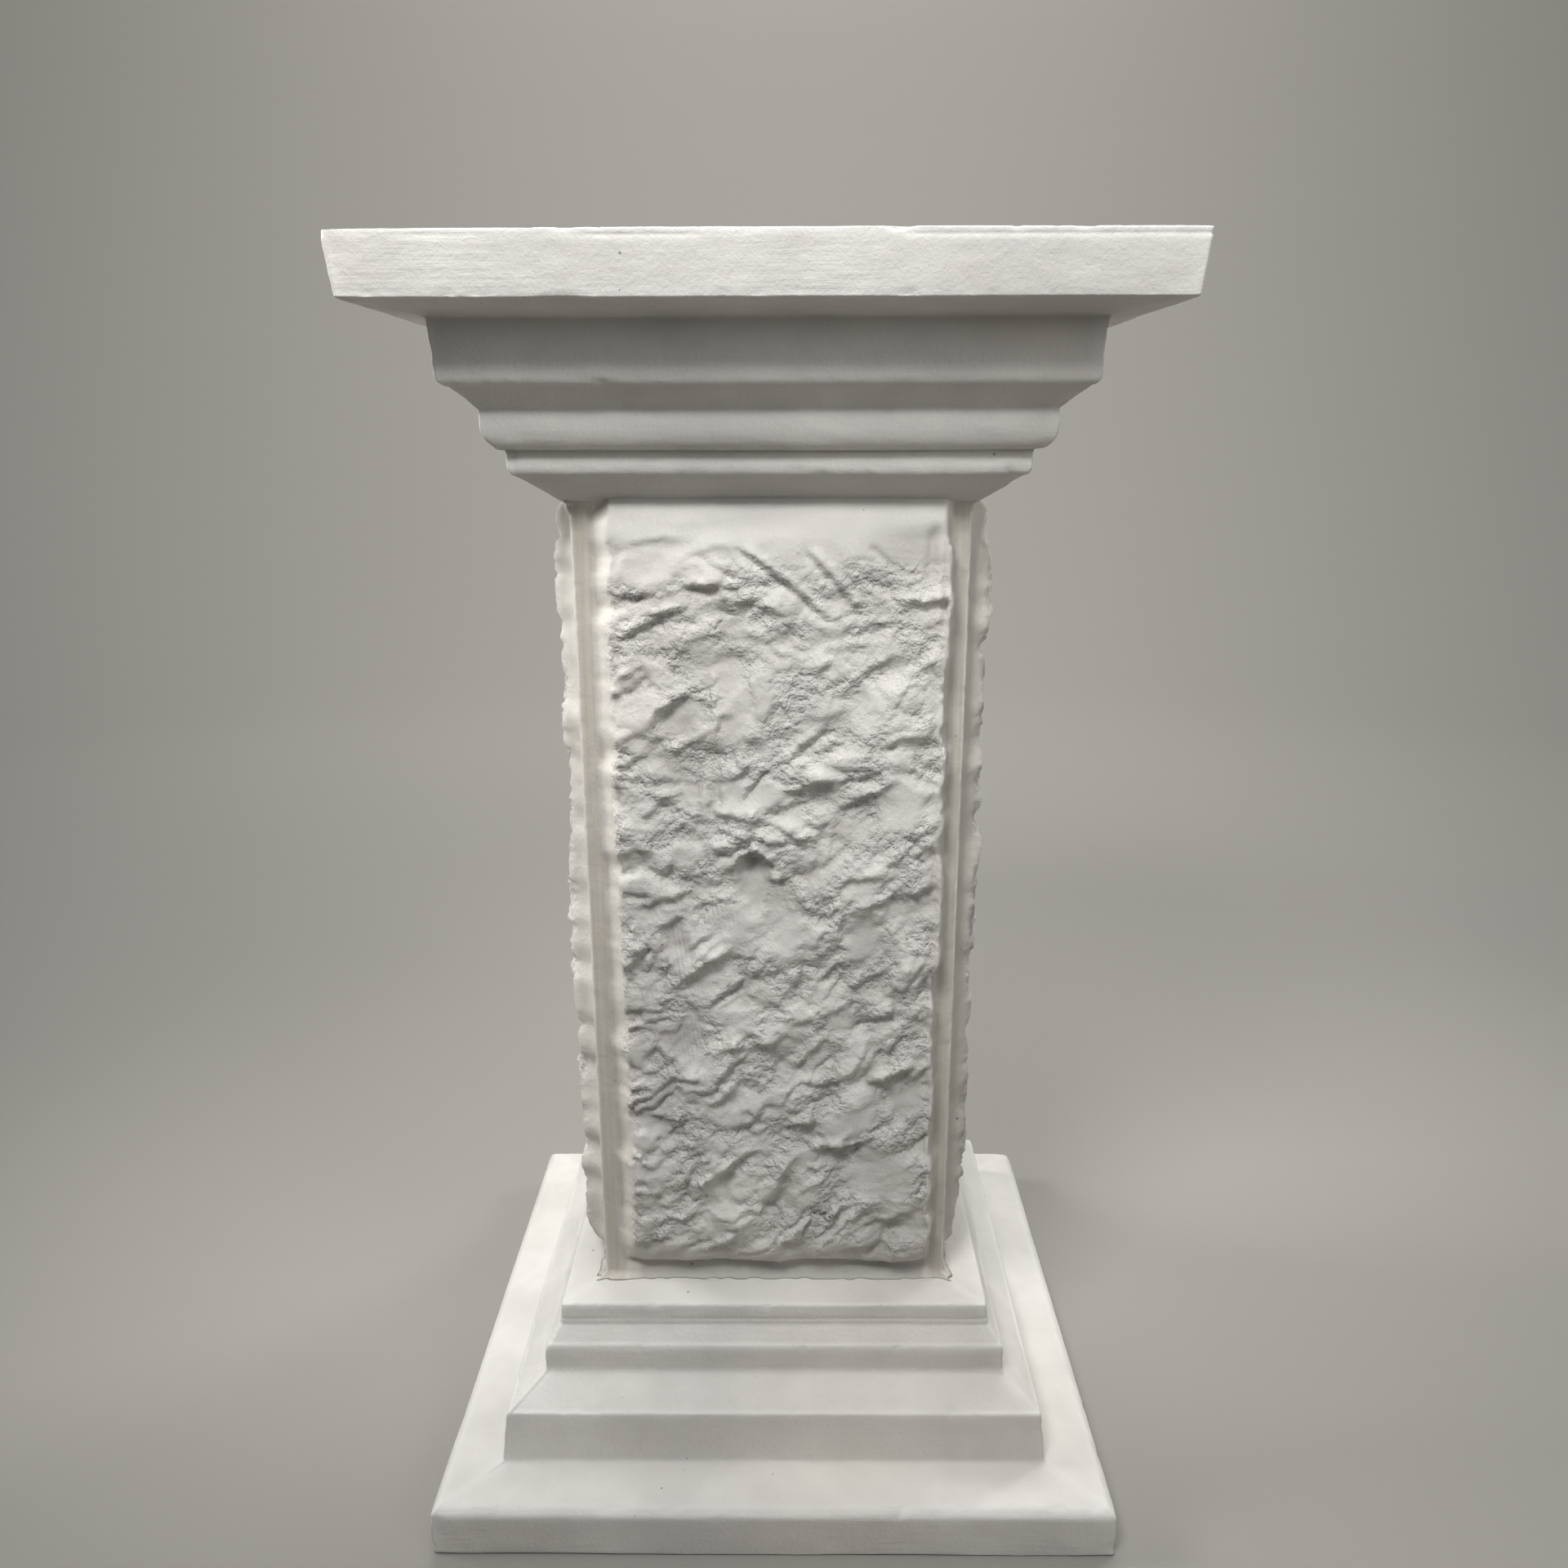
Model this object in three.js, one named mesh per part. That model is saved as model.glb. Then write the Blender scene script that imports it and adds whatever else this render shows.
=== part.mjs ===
// Square pedestal column cast in white gypsum plaster, in three castings bedded on each other:
// a stepped base, a shaft with four rough hewn panels between smooth corner margins, and a
// stepped capital under a wide square slab. Millimetres, Z up, front towards -Y.
// The origin is the middle of the underside.
import * as THREE from 'three';

// Base, from the ground up. Every width is across the square, from face to face.
const FOOT_WIDTH = 500;
const FOOT_EDGE_HEIGHT = 33;
const FOOT_CHAMFER = 5;
const FOOT_TOP_RISE = 3.5;
const PLINTH_WIDTH = 409;
const PLINTH_HEIGHT = 40;
const PLINTH_DRAFT = 3.5;
const BASE_SPLAY_HEIGHT = 16;
const BASE_BAND_WIDTH = 350;
const BASE_BAND_HEIGHT = 21;
const BASE_SHOULDER_HEIGHT = 13;
const SEAT_WIDTH = 328;
const SEAT_HEIGHT = 17;
const SEAT_TOP_RISE = 4;

// Shaft. The panels stand proud of its faces, inside the corner margins.
const SHAFT_FOOT_WIDTH = 265;
const SHAFT_HEAD_WIDTH = 271;
const SHAFT_HEIGHT = 596;
const HEAD_COVE_SPREAD = 4;
const HEAD_COVE_HEIGHT = 6;
const CORNER_MARGIN = 15;
const FLANK_RUN = 7;
const FRONT_LEFT_FLANK_RUN = 11.5;
const FRONT_RIGHT_FLANK_RUN = 4.5;
const FRONT_RIGHT_MARGIN = 11;
const PANEL_PROUD = 17;
const PANEL_FOOT_MARGIN = 16;
const PANEL_FOOT_TURN = 34;
const PANEL_HEAD_TURN = 42;
const PANEL_HEAD_PROUD = 7;
const EDGE_BITE = 3;
const EDGE_BITE_PITCH = 17;

// Capital, from the shaft up.
const NECK_SPLAY_HEIGHT = 19;
const NECK_BAND_WIDTH = 338;
const NECK_BAND_HEIGHT = 14.5;
const OVOLO_HEIGHT = 17;
const OVOLO_BAND_WIDTH = 365;
const OVOLO_BAND_HEIGHT = 8.5;
const CAPITAL_SPLAY_HEIGHT = 13.5;
const FASCIA_WIDTH = 411;
const FASCIA_HEIGHT = 38.5;
const FASCIA_DRAFT = 2.5;
const SOFFIT_HEIGHT = 7;
const SLAB_WIDTH = 500;
const SLAB_HEIGHT = 37;
const SLAB_DRAFT = 4;
const ARRIS_RADIUS = 3;

// Mesh steps: columns and rows of the hewn surface on each side, and steps in each round arris.
const HEWN_COLUMNS = 20;
const HEWN_ROWS = 44;
const ARRIS_STEPS = 2;
const OVOLO_STEPS = 4;

// The hewing is given on a panel of this size and stretched to the panel's own.
const DRAWN_HALF_WIDTH = 111.5;
const DRAWN_HEIGHT = 580;
const DRAWN_PROUD = 17;

// A ledge is where a flake was struck off: the surface bulges above it and is hollow below.
// Each one: across from the middle, up from the panel's foot, turn in degrees, length, drop.
const FRONT_LEDGES = [
  [-70, 519, 3, 76, 2],
  [-15, 521, -4, 50, 1.6],
  [-82, 499, 27, 60, 2.6],
  [-35, 513, 8, 44, 2],
  [88, 514, 4, 56, 3],
  [50, 486, 8, 50, 2.2],
  [100, 474, -6, 44, 4.2],
  [98, 405, 12, 44, 3.6],
  [-98, 463, 32, 34, 3.4],
  [-66, 443, 35, 48, 4.2],
  [46, 457, 40, 44, 2.6],
  [-96, 391, 14, 40, 3.4],
  [-81, 371, 50, 38, 3.6],
  [-88, 342, 20, 46, 3.4],
  [-66, 316, -12, 46, 3.4],
  [12, 388, 4, 34, 3],
  [40, 376, -30, 30, 4.2],
  [66, 377, 26, 56, 5.2],
  [-12, 394, 28, 40, 2.6],
  [-14, 341, -8, 40, 5.6],
  [-80, 296, 35, 44, 4.6],
  [-58, 300, -5, 36, 3.2],
  [78, 322, 2, 66, 3.4],
  [58, 302, 14, 44, 2.6],
  [96, 296, 30, 40, 3],
  [-50, 257, 42, 62, 5],
  [-36, 222, 22, 40, 4.6],
  [-62, 218, -48, 36, 2.4],
  [64, 240, 30, 60, 4.6],
  [20, 232, 38, 40, 3],
  [-16, 196, 16, 60, 4.2],
  [30, 205, 52, 46, 3.6],
  [74, 190, 48, 52, 4.2],
  [-70, 170, -8, 70, 4],
  [96, 172, 28, 40, 4.6],
  [44, 172, 40, 44, 3],
  [-28, 158, 48, 76, 4.2],
  [2, 150, 60, 50, 3.2],
  [-86, 133, 8, 56, 4.2],
  [22, 128, 12, 40, 5],
  [-55, 140, 40, 40, 3],
  [-74, 112, 22, 44, 3.6],
  [-32, 92, 48, 84, 4.4],
  [46, 104, 28, 74, 5.4],
  [88, 118, 12, 44, 3.4],
  [-96, 95, -24, 34, 3.8],
  [6, 56, 72, 52, 3.4],
  [32, 66, 46, 54, 3.6],
  [-26, 50, 24, 50, 3.4],
  [-82, 64, 14, 44, 3.4],
  [70, 62, 34, 44, 2.8],
  [22, 22, 22, 52, 4.6],
  [-50, 20, 36, 50, 4.6],
  [68, 18, 10, 44, 3.8],
  [-88, 24, -16, 40, 3],
];
const LEDGE_REACH = 17;
const LEDGE_SLOPE = 5;
const OTHER_SIDE_LEDGES = 34;
const OTHER_SIDE_SHORTEST = 40;
const OTHER_SIDE_LONGEST = 84;
const OTHER_SIDE_LEAST_DROP = 3.5;
const OTHER_SIDE_MOST_DROP = 7;
const LUMP_SIZE = 38;
const LUMP_STRETCH = 1.9;
const LUMP_HEIGHT = 3;
const GRAIN_TURN = 42;

const LOWEST_ROCK = 0.35;

// Repeatable random number from 0 to 1 for a cell of a grid.
function cellValue(column, row, seed) {
  const wave = Math.sin(column * 127.1 + row * 311.7 + seed * 74.7) * 43758.5453;
  return wave - Math.floor(wave);
}

// Smooth noise from -1 to 1: the four cell values round a point, eased into each other.
function smoothNoise(x, y, seed) {
  const column = Math.floor(x);
  const row = Math.floor(y);
  const easeX = THREE.MathUtils.smoothstep(x - column, 0, 1);
  const easeY = THREE.MathUtils.smoothstep(y - row, 0, 1);
  const low = THREE.MathUtils.lerp(cellValue(column, row, seed), cellValue(column + 1, row, seed), easeX);
  const high = THREE.MathUtils.lerp(cellValue(column, row + 1, seed), cellValue(column + 1, row + 1, seed), easeX);
  return 2 * THREE.MathUtils.lerp(low, high, easeY) - 1;
}

// The three sides that are not the front are hewn the same way, with ledges spread by chance:
// one in each band up the panel, so that none is left bare.
function scatteredLedges(side) {
  const ledges = [];
  for (let i = 0; i < OTHER_SIDE_LEDGES; i += 1) {
    const chance = (k) => cellValue(i, k, side * 10);
    const across = DRAWN_HALF_WIDTH * (1.8 * chance(1) - 0.9);
    const up = DRAWN_HEIGHT * (0.03 + 0.89 * (i + chance(2)) / OTHER_SIDE_LEDGES);
    const turn = THREE.MathUtils.lerp(-12, 58, chance(3));
    const length = THREE.MathUtils.lerp(OTHER_SIDE_SHORTEST, OTHER_SIDE_LONGEST, chance(4));
    const drop = THREE.MathUtils.lerp(OTHER_SIDE_LEAST_DROP, OTHER_SIDE_MOST_DROP, chance(5));
    ledges.push([across, up, turn, length, drop]);
  }
  return ledges;
}

// Height that one ledge adds: an S across its line that dies away on both sides and at both ends.
function ledgeHeight(x, y, [across, up, turn, length, drop]) {
  const angle = THREE.MathUtils.degToRad(turn);
  const along = (x - across) * Math.cos(angle) + (y - up) * Math.sin(angle);
  const above = (y - up) * Math.cos(angle) - (x - across) * Math.sin(angle);
  const reach = Math.min(Math.abs(2 * along / length), 1);
  const taper = (1 - reach * reach) ** 2;
  return drop * taper * Math.tanh(above / LEDGE_SLOPE) * Math.exp(-Math.abs(above) / LEDGE_REACH);
}

// Relief of a panel about its mean face: long lumps that lie along the grain, and the ledges.
function hewnRelief(x, y, side, ledges) {
  const grain = THREE.MathUtils.degToRad(GRAIN_TURN);
  const along = (x * Math.cos(grain) + y * Math.sin(grain)) / (LUMP_SIZE * LUMP_STRETCH);
  const over = (y * Math.cos(grain) - x * Math.sin(grain)) / LUMP_SIZE;
  let height = LUMP_HEIGHT * smoothNoise(along, over, side + 1);
  for (const ledge of ledges) {
    height += ledgeHeight(x, y, ledge);
  }
  return height;
}

// Corner points of a square casting's outline, from (half width, height) steps, turned into a solid:
// a lathe with four sides keeps the square and closes on the axis at the bottom and the top.
function squareCasting(name, outline, material) {
  const points = outline.map(([half, height]) => new THREE.Vector2(half * Math.SQRT2, height));
  points.unshift(new THREE.Vector2(0, outline[0][1]));
  points.push(new THREE.Vector2(0, outline.at(-1)[1]));
  const geometry = new THREE.LatheGeometry(points, 4, Math.PI / 4);
  geometry.rotateX(Math.PI / 2);
  const mesh = new THREE.Mesh(geometry, material);
  mesh.name = name;
  return mesh;
}

// Quarter round from one outline point to another, full side outwards.
// From an upright face it leaves upright; from a flat one it leaves flat.
function quarterRound(from, to, steps, startsUpright) {
  const points = [];
  for (let i = 0; i <= steps; i += 1) {
    const angle = (Math.PI / 2) * (i / steps);
    const early = Math.sin(angle);
    const late = 1 - Math.cos(angle);
    const [acrossShare, upShare] = startsUpright ? [late, early] : [early, late];
    points.push([from[0] + (to[0] - from[0]) * acrossShare, from[1] + (to[1] - from[1]) * upShare]);
  }
  return points;
}

function plaster() {
  return new THREE.MeshStandardMaterial({
    color: 0xe6e3dd,
    roughness: 0.88,
    metalness: 0,
    flatShading: true,
  });
}

// Heights of the beds, where one casting rests on the next.
const plinthFoot = FOOT_EDGE_HEIGHT + FOOT_CHAMFER + FOOT_TOP_RISE;
const plinthHead = plinthFoot + PLINTH_HEIGHT;
const baseBandFoot = plinthHead + BASE_SPLAY_HEIGHT;
const baseBandHead = baseBandFoot + BASE_BAND_HEIGHT;
const seatFoot = baseBandHead + BASE_SHOULDER_HEIGHT;
const seatHead = seatFoot + SEAT_HEIGHT;
const shaftFoot = seatHead + SEAT_TOP_RISE;
const shaftHead = shaftFoot + SHAFT_HEIGHT;

// Base: foot slab, plinth, splay, band with a sloped shoulder, and the seat, whose top rises to the shaft.
function base() {
  const foot = FOOT_WIDTH / 2;
  const plinth = PLINTH_WIDTH / 2;
  const band = BASE_BAND_WIDTH / 2;
  const seat = SEAT_WIDTH / 2;
  const outline = [
    [foot, 0],
    [foot, FOOT_EDGE_HEIGHT],
    [foot - FOOT_CHAMFER, FOOT_EDGE_HEIGHT + FOOT_CHAMFER],
    [plinth, plinthFoot],
    ...quarterRound(
      [plinth - PLINTH_DRAFT, plinthHead - ARRIS_RADIUS],
      [plinth - PLINTH_DRAFT - ARRIS_RADIUS, plinthHead],
      ARRIS_STEPS,
      true,
    ),
    [band, baseBandFoot],
    ...quarterRound(
      [band, baseBandHead - ARRIS_RADIUS],
      [band - ARRIS_RADIUS, baseBandHead + ARRIS_RADIUS],
      ARRIS_STEPS,
      true,
    ),
    [seat, seatFoot],
    ...quarterRound(
      [seat, seatHead - ARRIS_RADIUS],
      [seat - ARRIS_RADIUS, seatHead],
      ARRIS_STEPS,
      true,
    ),
    [SHAFT_FOOT_WIDTH / 2, shaftFoot],
  ];
  return squareCasting('base', outline, plaster());
}

// Capital: neck splay, neck band, ovolo with its band, splay, tall fascia, soffit and slab.
function capital() {
  const neckFoot = SHAFT_HEAD_WIDTH / 2 + HEAD_COVE_SPREAD;
  const neckBand = NECK_BAND_WIDTH / 2;
  const ovoloBand = OVOLO_BAND_WIDTH / 2;
  const fascia = FASCIA_WIDTH / 2;
  const slab = SLAB_WIDTH / 2;
  const neckBandFoot = shaftHead + NECK_SPLAY_HEIGHT;
  const ovoloFoot = neckBandFoot + NECK_BAND_HEIGHT;
  const ovoloHead = ovoloFoot + OVOLO_HEIGHT;
  const bandHead = ovoloHead + OVOLO_BAND_HEIGHT;
  const fasciaFoot = bandHead + CAPITAL_SPLAY_HEIGHT;
  const fasciaHead = fasciaFoot + FASCIA_HEIGHT;
  const slabFoot = fasciaHead + SOFFIT_HEIGHT;
  const slabHead = slabFoot + SLAB_HEIGHT;
  const outline = [
    [neckFoot, shaftHead],
    [neckBand, neckBandFoot],
    [neckBand, ovoloFoot],
    ...quarterRound([neckBand + ARRIS_RADIUS, ovoloFoot], [ovoloBand, ovoloHead], OVOLO_STEPS, false),
    [ovoloBand, bandHead],
    ...quarterRound(
      [fascia - FASCIA_DRAFT - ARRIS_RADIUS, fasciaFoot],
      [fascia - FASCIA_DRAFT, fasciaFoot + ARRIS_RADIUS],
      ARRIS_STEPS,
      false,
    ),
    [fascia, fasciaHead],
    ...quarterRound(
      [slab - SLAB_DRAFT - ARRIS_RADIUS, slabFoot],
      [slab - SLAB_DRAFT, slabFoot + ARRIS_RADIUS],
      ARRIS_STEPS,
      false,
    ),
    ...quarterRound([slab, slabHead - ARRIS_RADIUS], [slab - ARRIS_RADIUS, slabHead], ARRIS_STEPS, true),
  ];
  return squareCasting('capital', outline, plaster());
}

// Shaft: rings of points round a square tower, one ring at each level. On each side the points go
// across the margin, up the flank, over the hewn panel, down the other flank and over its margin.
function shaft() {
  const panelFoot = PANEL_FOOT_MARGIN;
  const panelHeight = SHAFT_HEIGHT - panelFoot;
  const pointsPerSide = HEWN_COLUMNS + 4;
  const levels = [0, panelFoot];
  for (let row = 0; row < HEWN_ROWS; row += 1) {
    levels.push(panelFoot + FLANK_RUN + (panelHeight - FLANK_RUN - HEAD_COVE_HEIGHT) * (row / (HEWN_ROWS - 1)));
  }
  levels.push(SHAFT_HEIGHT - HEAD_COVE_HEIGHT / 3);
  levels.push(SHAFT_HEIGHT);
  const ledgesBySide = [FRONT_LEDGES, scatteredLedges(1), scatteredLedges(2), scatteredLedges(3)];

  function faceHalf(level) {
    return THREE.MathUtils.lerp(SHAFT_FOOT_WIDTH, SHAFT_HEAD_WIDTH, level / SHAFT_HEIGHT) / 2;
  }

  // The small cove that spreads the shaft's head out to the capital.
  function headSpread(level) {
    const share = THREE.MathUtils.clamp((level - (SHAFT_HEIGHT - HEAD_COVE_HEIGHT)) / HEAD_COVE_HEIGHT, 0, 1);
    return HEAD_COVE_SPREAD * (1 - Math.sqrt(1 - share * share));
  }

  // How proud the panel's mean face stands at a level: rounded back at its foot, turned in at its head.
  function meanProud(level) {
    const up = level - panelFoot;
    const down = SHAFT_HEIGHT - level;
    const footShare = THREE.MathUtils.clamp(up / PANEL_FOOT_TURN, 0, 1);
    const headShare = THREE.MathUtils.clamp(down / PANEL_HEAD_TURN, 0, 1);
    const foot = up <= 0 ? 0 : Math.sqrt(1 - (1 - footShare) ** 2);
    const head = THREE.MathUtils.lerp(PANEL_HEAD_PROUD / PANEL_PROUD, 1, Math.sqrt(1 - (1 - headShare) ** 2));
    return PANEL_PROUD * foot * head;
  }

  // The relief fades out towards the smooth head and the rounded foot.
  function reliefShare(level) {
    const foot = THREE.MathUtils.smoothstep(level - panelFoot, 0, PANEL_FOOT_TURN);
    const head = THREE.MathUtils.smoothstep(SHAFT_HEIGHT - level, PANEL_HEAD_TURN / 4, PANEL_HEAD_TURN * 1.6);
    return foot * head;
  }

  // Widths of the left margin, the left flank, the right flank and the right margin of a side.
  function edgeWidths(side) {
    if (side === 0) {
      return [CORNER_MARGIN, FRONT_LEFT_FLANK_RUN, FRONT_RIGHT_FLANK_RUN, FRONT_RIGHT_MARGIN];
    }
    return [CORNER_MARGIN, FLANK_RUN, FLANK_RUN, CORNER_MARGIN];
  }

  // Across and out of the face for one point of a side's row.
  function sidePoint(side, station, level) {
    const half = faceHalf(level);
    const spread = headSpread(level);
    if (station === 0) {
      return [-half - spread, half + spread];
    }
    const [leftMargin, leftRun, rightRun, rightMargin] = edgeWidths(side);
    const last = pointsPerSide - 1;
    if (station === 1) {
      return [leftMargin - half, half + spread];
    }
    if (station === last) {
      return [half - rightMargin, half + spread];
    }
    const hand = station < pointsPerSide / 2 ? -1 : 1;
    const bite = EDGE_BITE * smoothNoise(level / EDGE_BITE_PITCH, hand, side + 5);
    const rockHalf = half - CORNER_MARGIN - FLANK_RUN;
    const share = (station - 2) / HEWN_COLUMNS;
    const onEdge = station === 2 || station === last - 1;
    const reach = half + (onEdge ? bite : 0);
    const across = THREE.MathUtils.lerp(leftMargin + leftRun - reach, reach - rightRun - rightMargin, share);
    const x = (across / rockHalf) * DRAWN_HALF_WIDTH;
    const y = ((level - panelFoot) / panelHeight) * DRAWN_HEIGHT;
    const relief = hewnRelief(x, y, side, ledgesBySide[side]) * (PANEL_PROUD / DRAWN_PROUD);
    const edgeFall = onEdge ? EDGE_BITE - bite / 2 : 0;
    const proud = meanProud(level) + (relief - edgeFall) * reliefShare(level);
    const least = meanProud(level) * LOWEST_ROCK;
    return [across, half + Math.max(proud, least, spread)];
  }

  const columns = pointsPerSide * 4;
  const rows = levels.length - 1;
  const geometry = new THREE.CylinderGeometry(1, 1, 1, columns, rows);
  const position = geometry.attributes.position;
  for (let i = 0; i < position.count; i += 1) {
    const row = Math.round((position.getY(i) + 0.5) * rows);
    const level = levels[row];
    const onAxis = Math.hypot(position.getX(i), position.getZ(i)) < 0.5;
    if (onAxis) {
      position.setXYZ(i, 0, 0, shaftFoot + level);
      continue;
    }
    const turn = Math.atan2(position.getX(i), position.getZ(i)) / (2 * Math.PI);
    const column = (Math.round(turn * columns) + columns) % columns;
    const side = Math.floor(column / pointsPerSide);
    const [across, out] = sidePoint(side, column % pointsPerSide, level);
    const quarter = [[across, -out], [out, across], [-across, out], [-out, -across]][side];
    position.setXYZ(i, quarter[0], quarter[1], shaftFoot + level);
  }
  const mesh = new THREE.Mesh(geometry, plaster());
  mesh.name = 'shaft';
  return mesh;
}

const column = new THREE.Group();
column.add(base());
column.add(shaft());
column.add(capital());

export default column;
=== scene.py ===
import bpy
import numpy as np
from mathutils import Matrix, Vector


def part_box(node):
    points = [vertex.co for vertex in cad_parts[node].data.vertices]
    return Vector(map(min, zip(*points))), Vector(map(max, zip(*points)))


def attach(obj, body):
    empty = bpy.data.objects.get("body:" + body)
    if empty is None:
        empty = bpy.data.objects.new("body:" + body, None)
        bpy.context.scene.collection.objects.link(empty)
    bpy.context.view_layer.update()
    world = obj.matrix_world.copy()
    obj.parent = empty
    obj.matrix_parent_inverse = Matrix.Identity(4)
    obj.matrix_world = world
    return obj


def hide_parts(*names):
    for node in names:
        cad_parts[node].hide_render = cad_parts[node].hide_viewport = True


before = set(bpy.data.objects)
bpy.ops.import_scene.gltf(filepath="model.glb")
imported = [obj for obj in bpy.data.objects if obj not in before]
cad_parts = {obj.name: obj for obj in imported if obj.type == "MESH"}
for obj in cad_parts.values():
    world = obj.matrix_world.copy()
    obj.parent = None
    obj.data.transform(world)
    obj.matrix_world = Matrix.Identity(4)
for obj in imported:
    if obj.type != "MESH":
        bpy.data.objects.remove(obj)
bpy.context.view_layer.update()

# Camera: at eye height a metre in front of the column, a little to its right, and tipped down,
# with a wide lens, as the photograph was taken.
EYE = (0.0143, -1.0325, 0.7889)
EYE_TURN, EYE_DIP, EYE_LEAN = np.radians((-0.37, 14.74, -0.13))
SENSOR_WIDTH = 36.0
FOCAL_SHARE = 0.8363


def camera_axes():
    """Right, up and backward directions of the camera: turned about Z, tipped down, then leaned about its view."""
    ahead = np.array((np.sin(EYE_TURN) * np.cos(EYE_DIP), np.cos(EYE_TURN) * np.cos(EYE_DIP), -np.sin(EYE_DIP)))
    level = np.array((np.cos(EYE_TURN), -np.sin(EYE_TURN), 0.0))
    over = np.cross(level, ahead)
    right = np.cos(EYE_LEAN) * level + np.sin(EYE_LEAN) * over
    up = np.cos(EYE_LEAN) * over - np.sin(EYE_LEAN) * level
    return right, up, -ahead


camera_data = bpy.data.cameras.new("camera")
camera_data.sensor_width = SENSOR_WIDTH
camera_data.lens = FOCAL_SHARE * SENSOR_WIDTH
camera = bpy.data.objects.new("camera", camera_data)
bpy.context.scene.collection.objects.link(camera)
camera.matrix_world = Matrix.Translation(EYE) @ Matrix(np.array(camera_axes()).T.tolist()).to_4x4()
bpy.context.scene.camera = camera

# Base: one casting of white gypsum plaster that stands on its foot slab. The steps were run with a
# template, so they are straight and a little uneven, with worn arrises and nicked corners.
MM = 0.001
FOOT_WIDTH = 1000 * (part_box("base")[1].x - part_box("base")[0].x)
FOOT_EDGE_HEIGHT = 33
FOOT_CHAMFER = 5
FOOT_TOP_RISE = 3.5
PLINTH_WIDTH = 409
PLINTH_HEIGHT = 40
PLINTH_DRAFT = 3.5
BASE_SPLAY_HEIGHT = 16
BASE_BAND_WIDTH = 350
BASE_BAND_HEIGHT = 21
BASE_SHOULDER_HEIGHT = 13
SEAT_WIDTH = 328
SEAT_HEIGHT = 17
SHAFT_FOOT_WIDTH = 265
SHAFT_FOOT = 1000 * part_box("base")[1].z
ARRIS_RADIUS = 2.2
ARRIS_WEAR = 3.2
CORNER_RADIUS = 2
CORNER_WEAR = 5
SLOW_WAVE = 0.55
SHORT_WAVE = 0.16
FINE_WAVE = 0.07
DENT_DEPTH = 3.2
CHIP_DEPTH = 3.4
LIP_DEPTH = 0.5
LIP_WIDTH = 0.8
END_EASE = 10
OUTLINE_STEP = 2.4
SIDE_STEPS = 150
CORNER_STEPS = 4
PLASTER_WHITE = (0.80, 0.785, 0.755, 1)
PLASTER_GREY = (0.69, 0.675, 0.65, 1)
PLASTER_WARM = (0.74, 0.70, 0.63, 1)
# Grey of painted shade inside the pinholes.
PINHOLE_SHADE_GREY = (0.30, 0.285, 0.265, 1)
# Grey of painted shade and dirt: in the relief's hollows and creases, under the panel's foot, and on the capital's
# handled top.
SHADE_AND_DIRT_GREY = (0.56, 0.545, 0.52, 1)
FILLER_CREAM = (0.78, 0.74, 0.66, 1)
MARGIN_GREY = (0.585, 0.55, 0.49, 1)
RUBBED_WHITE = (0.86, 0.85, 0.83, 1)
GRAIN_DEPTH = 0.00035
RIPPLE_DEPTH = 0.0007
BRUSH_DEPTH = 0.0005
TEETH_DEPTH = 0.00018
PINHOLE_DEPTH = 0.0009


def cell_value(column, row, seed):
    """Repeatable chance value from 0 to 1 for each cell: the broken-off part of a very large sine."""
    wave = np.sin(column * 127.1 + row * 311.7 + seed * 74.7) * 43758.5453
    return wave - np.floor(wave)


def ease(share):
    """Eased step from 0 to 1: three times the square less twice the cube."""
    share = np.clip(share, 0, 1)
    return share * share * (3 - 2 * share)


def smooth_noise(x, y, seed):
    """Noise from -1 to 1: the chance values at a cell's four corners, eased into each other."""
    column, row = np.floor(x), np.floor(y)
    ease_x, ease_y = ease(x - column), ease(y - row)
    low = cell_value(column, row, seed) * (1 - ease_x) + cell_value(column + 1, row, seed) * ease_x
    high = cell_value(column, row + 1, seed) * (1 - ease_x) + cell_value(column + 1, row + 1, seed) * ease_x
    return 2 * (low * (1 - ease_y) + high * ease_y) - 1


def slope_noise(x, y, seed):
    """Noise from about -1 to 1: a plane of chance slope at each cell corner, eased into each other."""
    column, row = np.floor(x), np.floor(y)
    along, over = x - column, y - row

    def plane(i, j):
        """Height here of the plane through one cell corner, which leans by a chance turn."""
        turn = 2 * np.pi * cell_value(column + i, row + j, seed)
        return np.cos(turn) * (along - i) + np.sin(turn) * (over - j)

    ease_x, ease_y = ease(along), ease(over)
    low = plane(0, 0) * (1 - ease_x) + plane(1, 0) * ease_x
    high = plane(0, 1) * (1 - ease_x) + plane(1, 1) * ease_x
    return 1.5 * (low * (1 - ease_y) + high * ease_y)


def around_square():
    """Stations round a square with round corners: each side's own turn, the turn within the corner's
    arc, the share from -1 to 1 along the side, and the distance round a square of unit half width."""
    side_turn, arc_turn, share = [], [], []
    for side in range(4):
        along = np.linspace(-1, 1, SIDE_STEPS + 1)
        crowded = along * (1.12 - 0.12 * along * along)
        arc = np.linspace(0, np.pi / 2, CORNER_STEPS + 1)[1:-1]
        side_turn.append(np.full(len(along) + len(arc), side * np.pi / 2))
        arc_turn.append(np.concatenate((np.zeros(len(along)), arc)))
        share.append(np.concatenate((crowded, np.ones(len(arc)))))
    side_turn, arc_turn, share = (np.concatenate(parts) for parts in (side_turn, arc_turn, share))
    return side_turn, arc_turn, share, side_turn / (np.pi / 2) * 2 + share + 1


def arc_points(start, end, upright_first, steps=4):
    """Quarter round between two outline points, full side outwards: sine one way, one less cosine the other."""
    turn = np.linspace(0, np.pi / 2, steps + 1)
    early, late = np.sin(turn), 1 - np.cos(turn)
    across, up = (late, early) if upright_first else (early, late)
    return [(start[0] + (end[0] - start[0]) * a, start[1] + (end[1] - start[1]) * b) for a, b in zip(across, up)]


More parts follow.
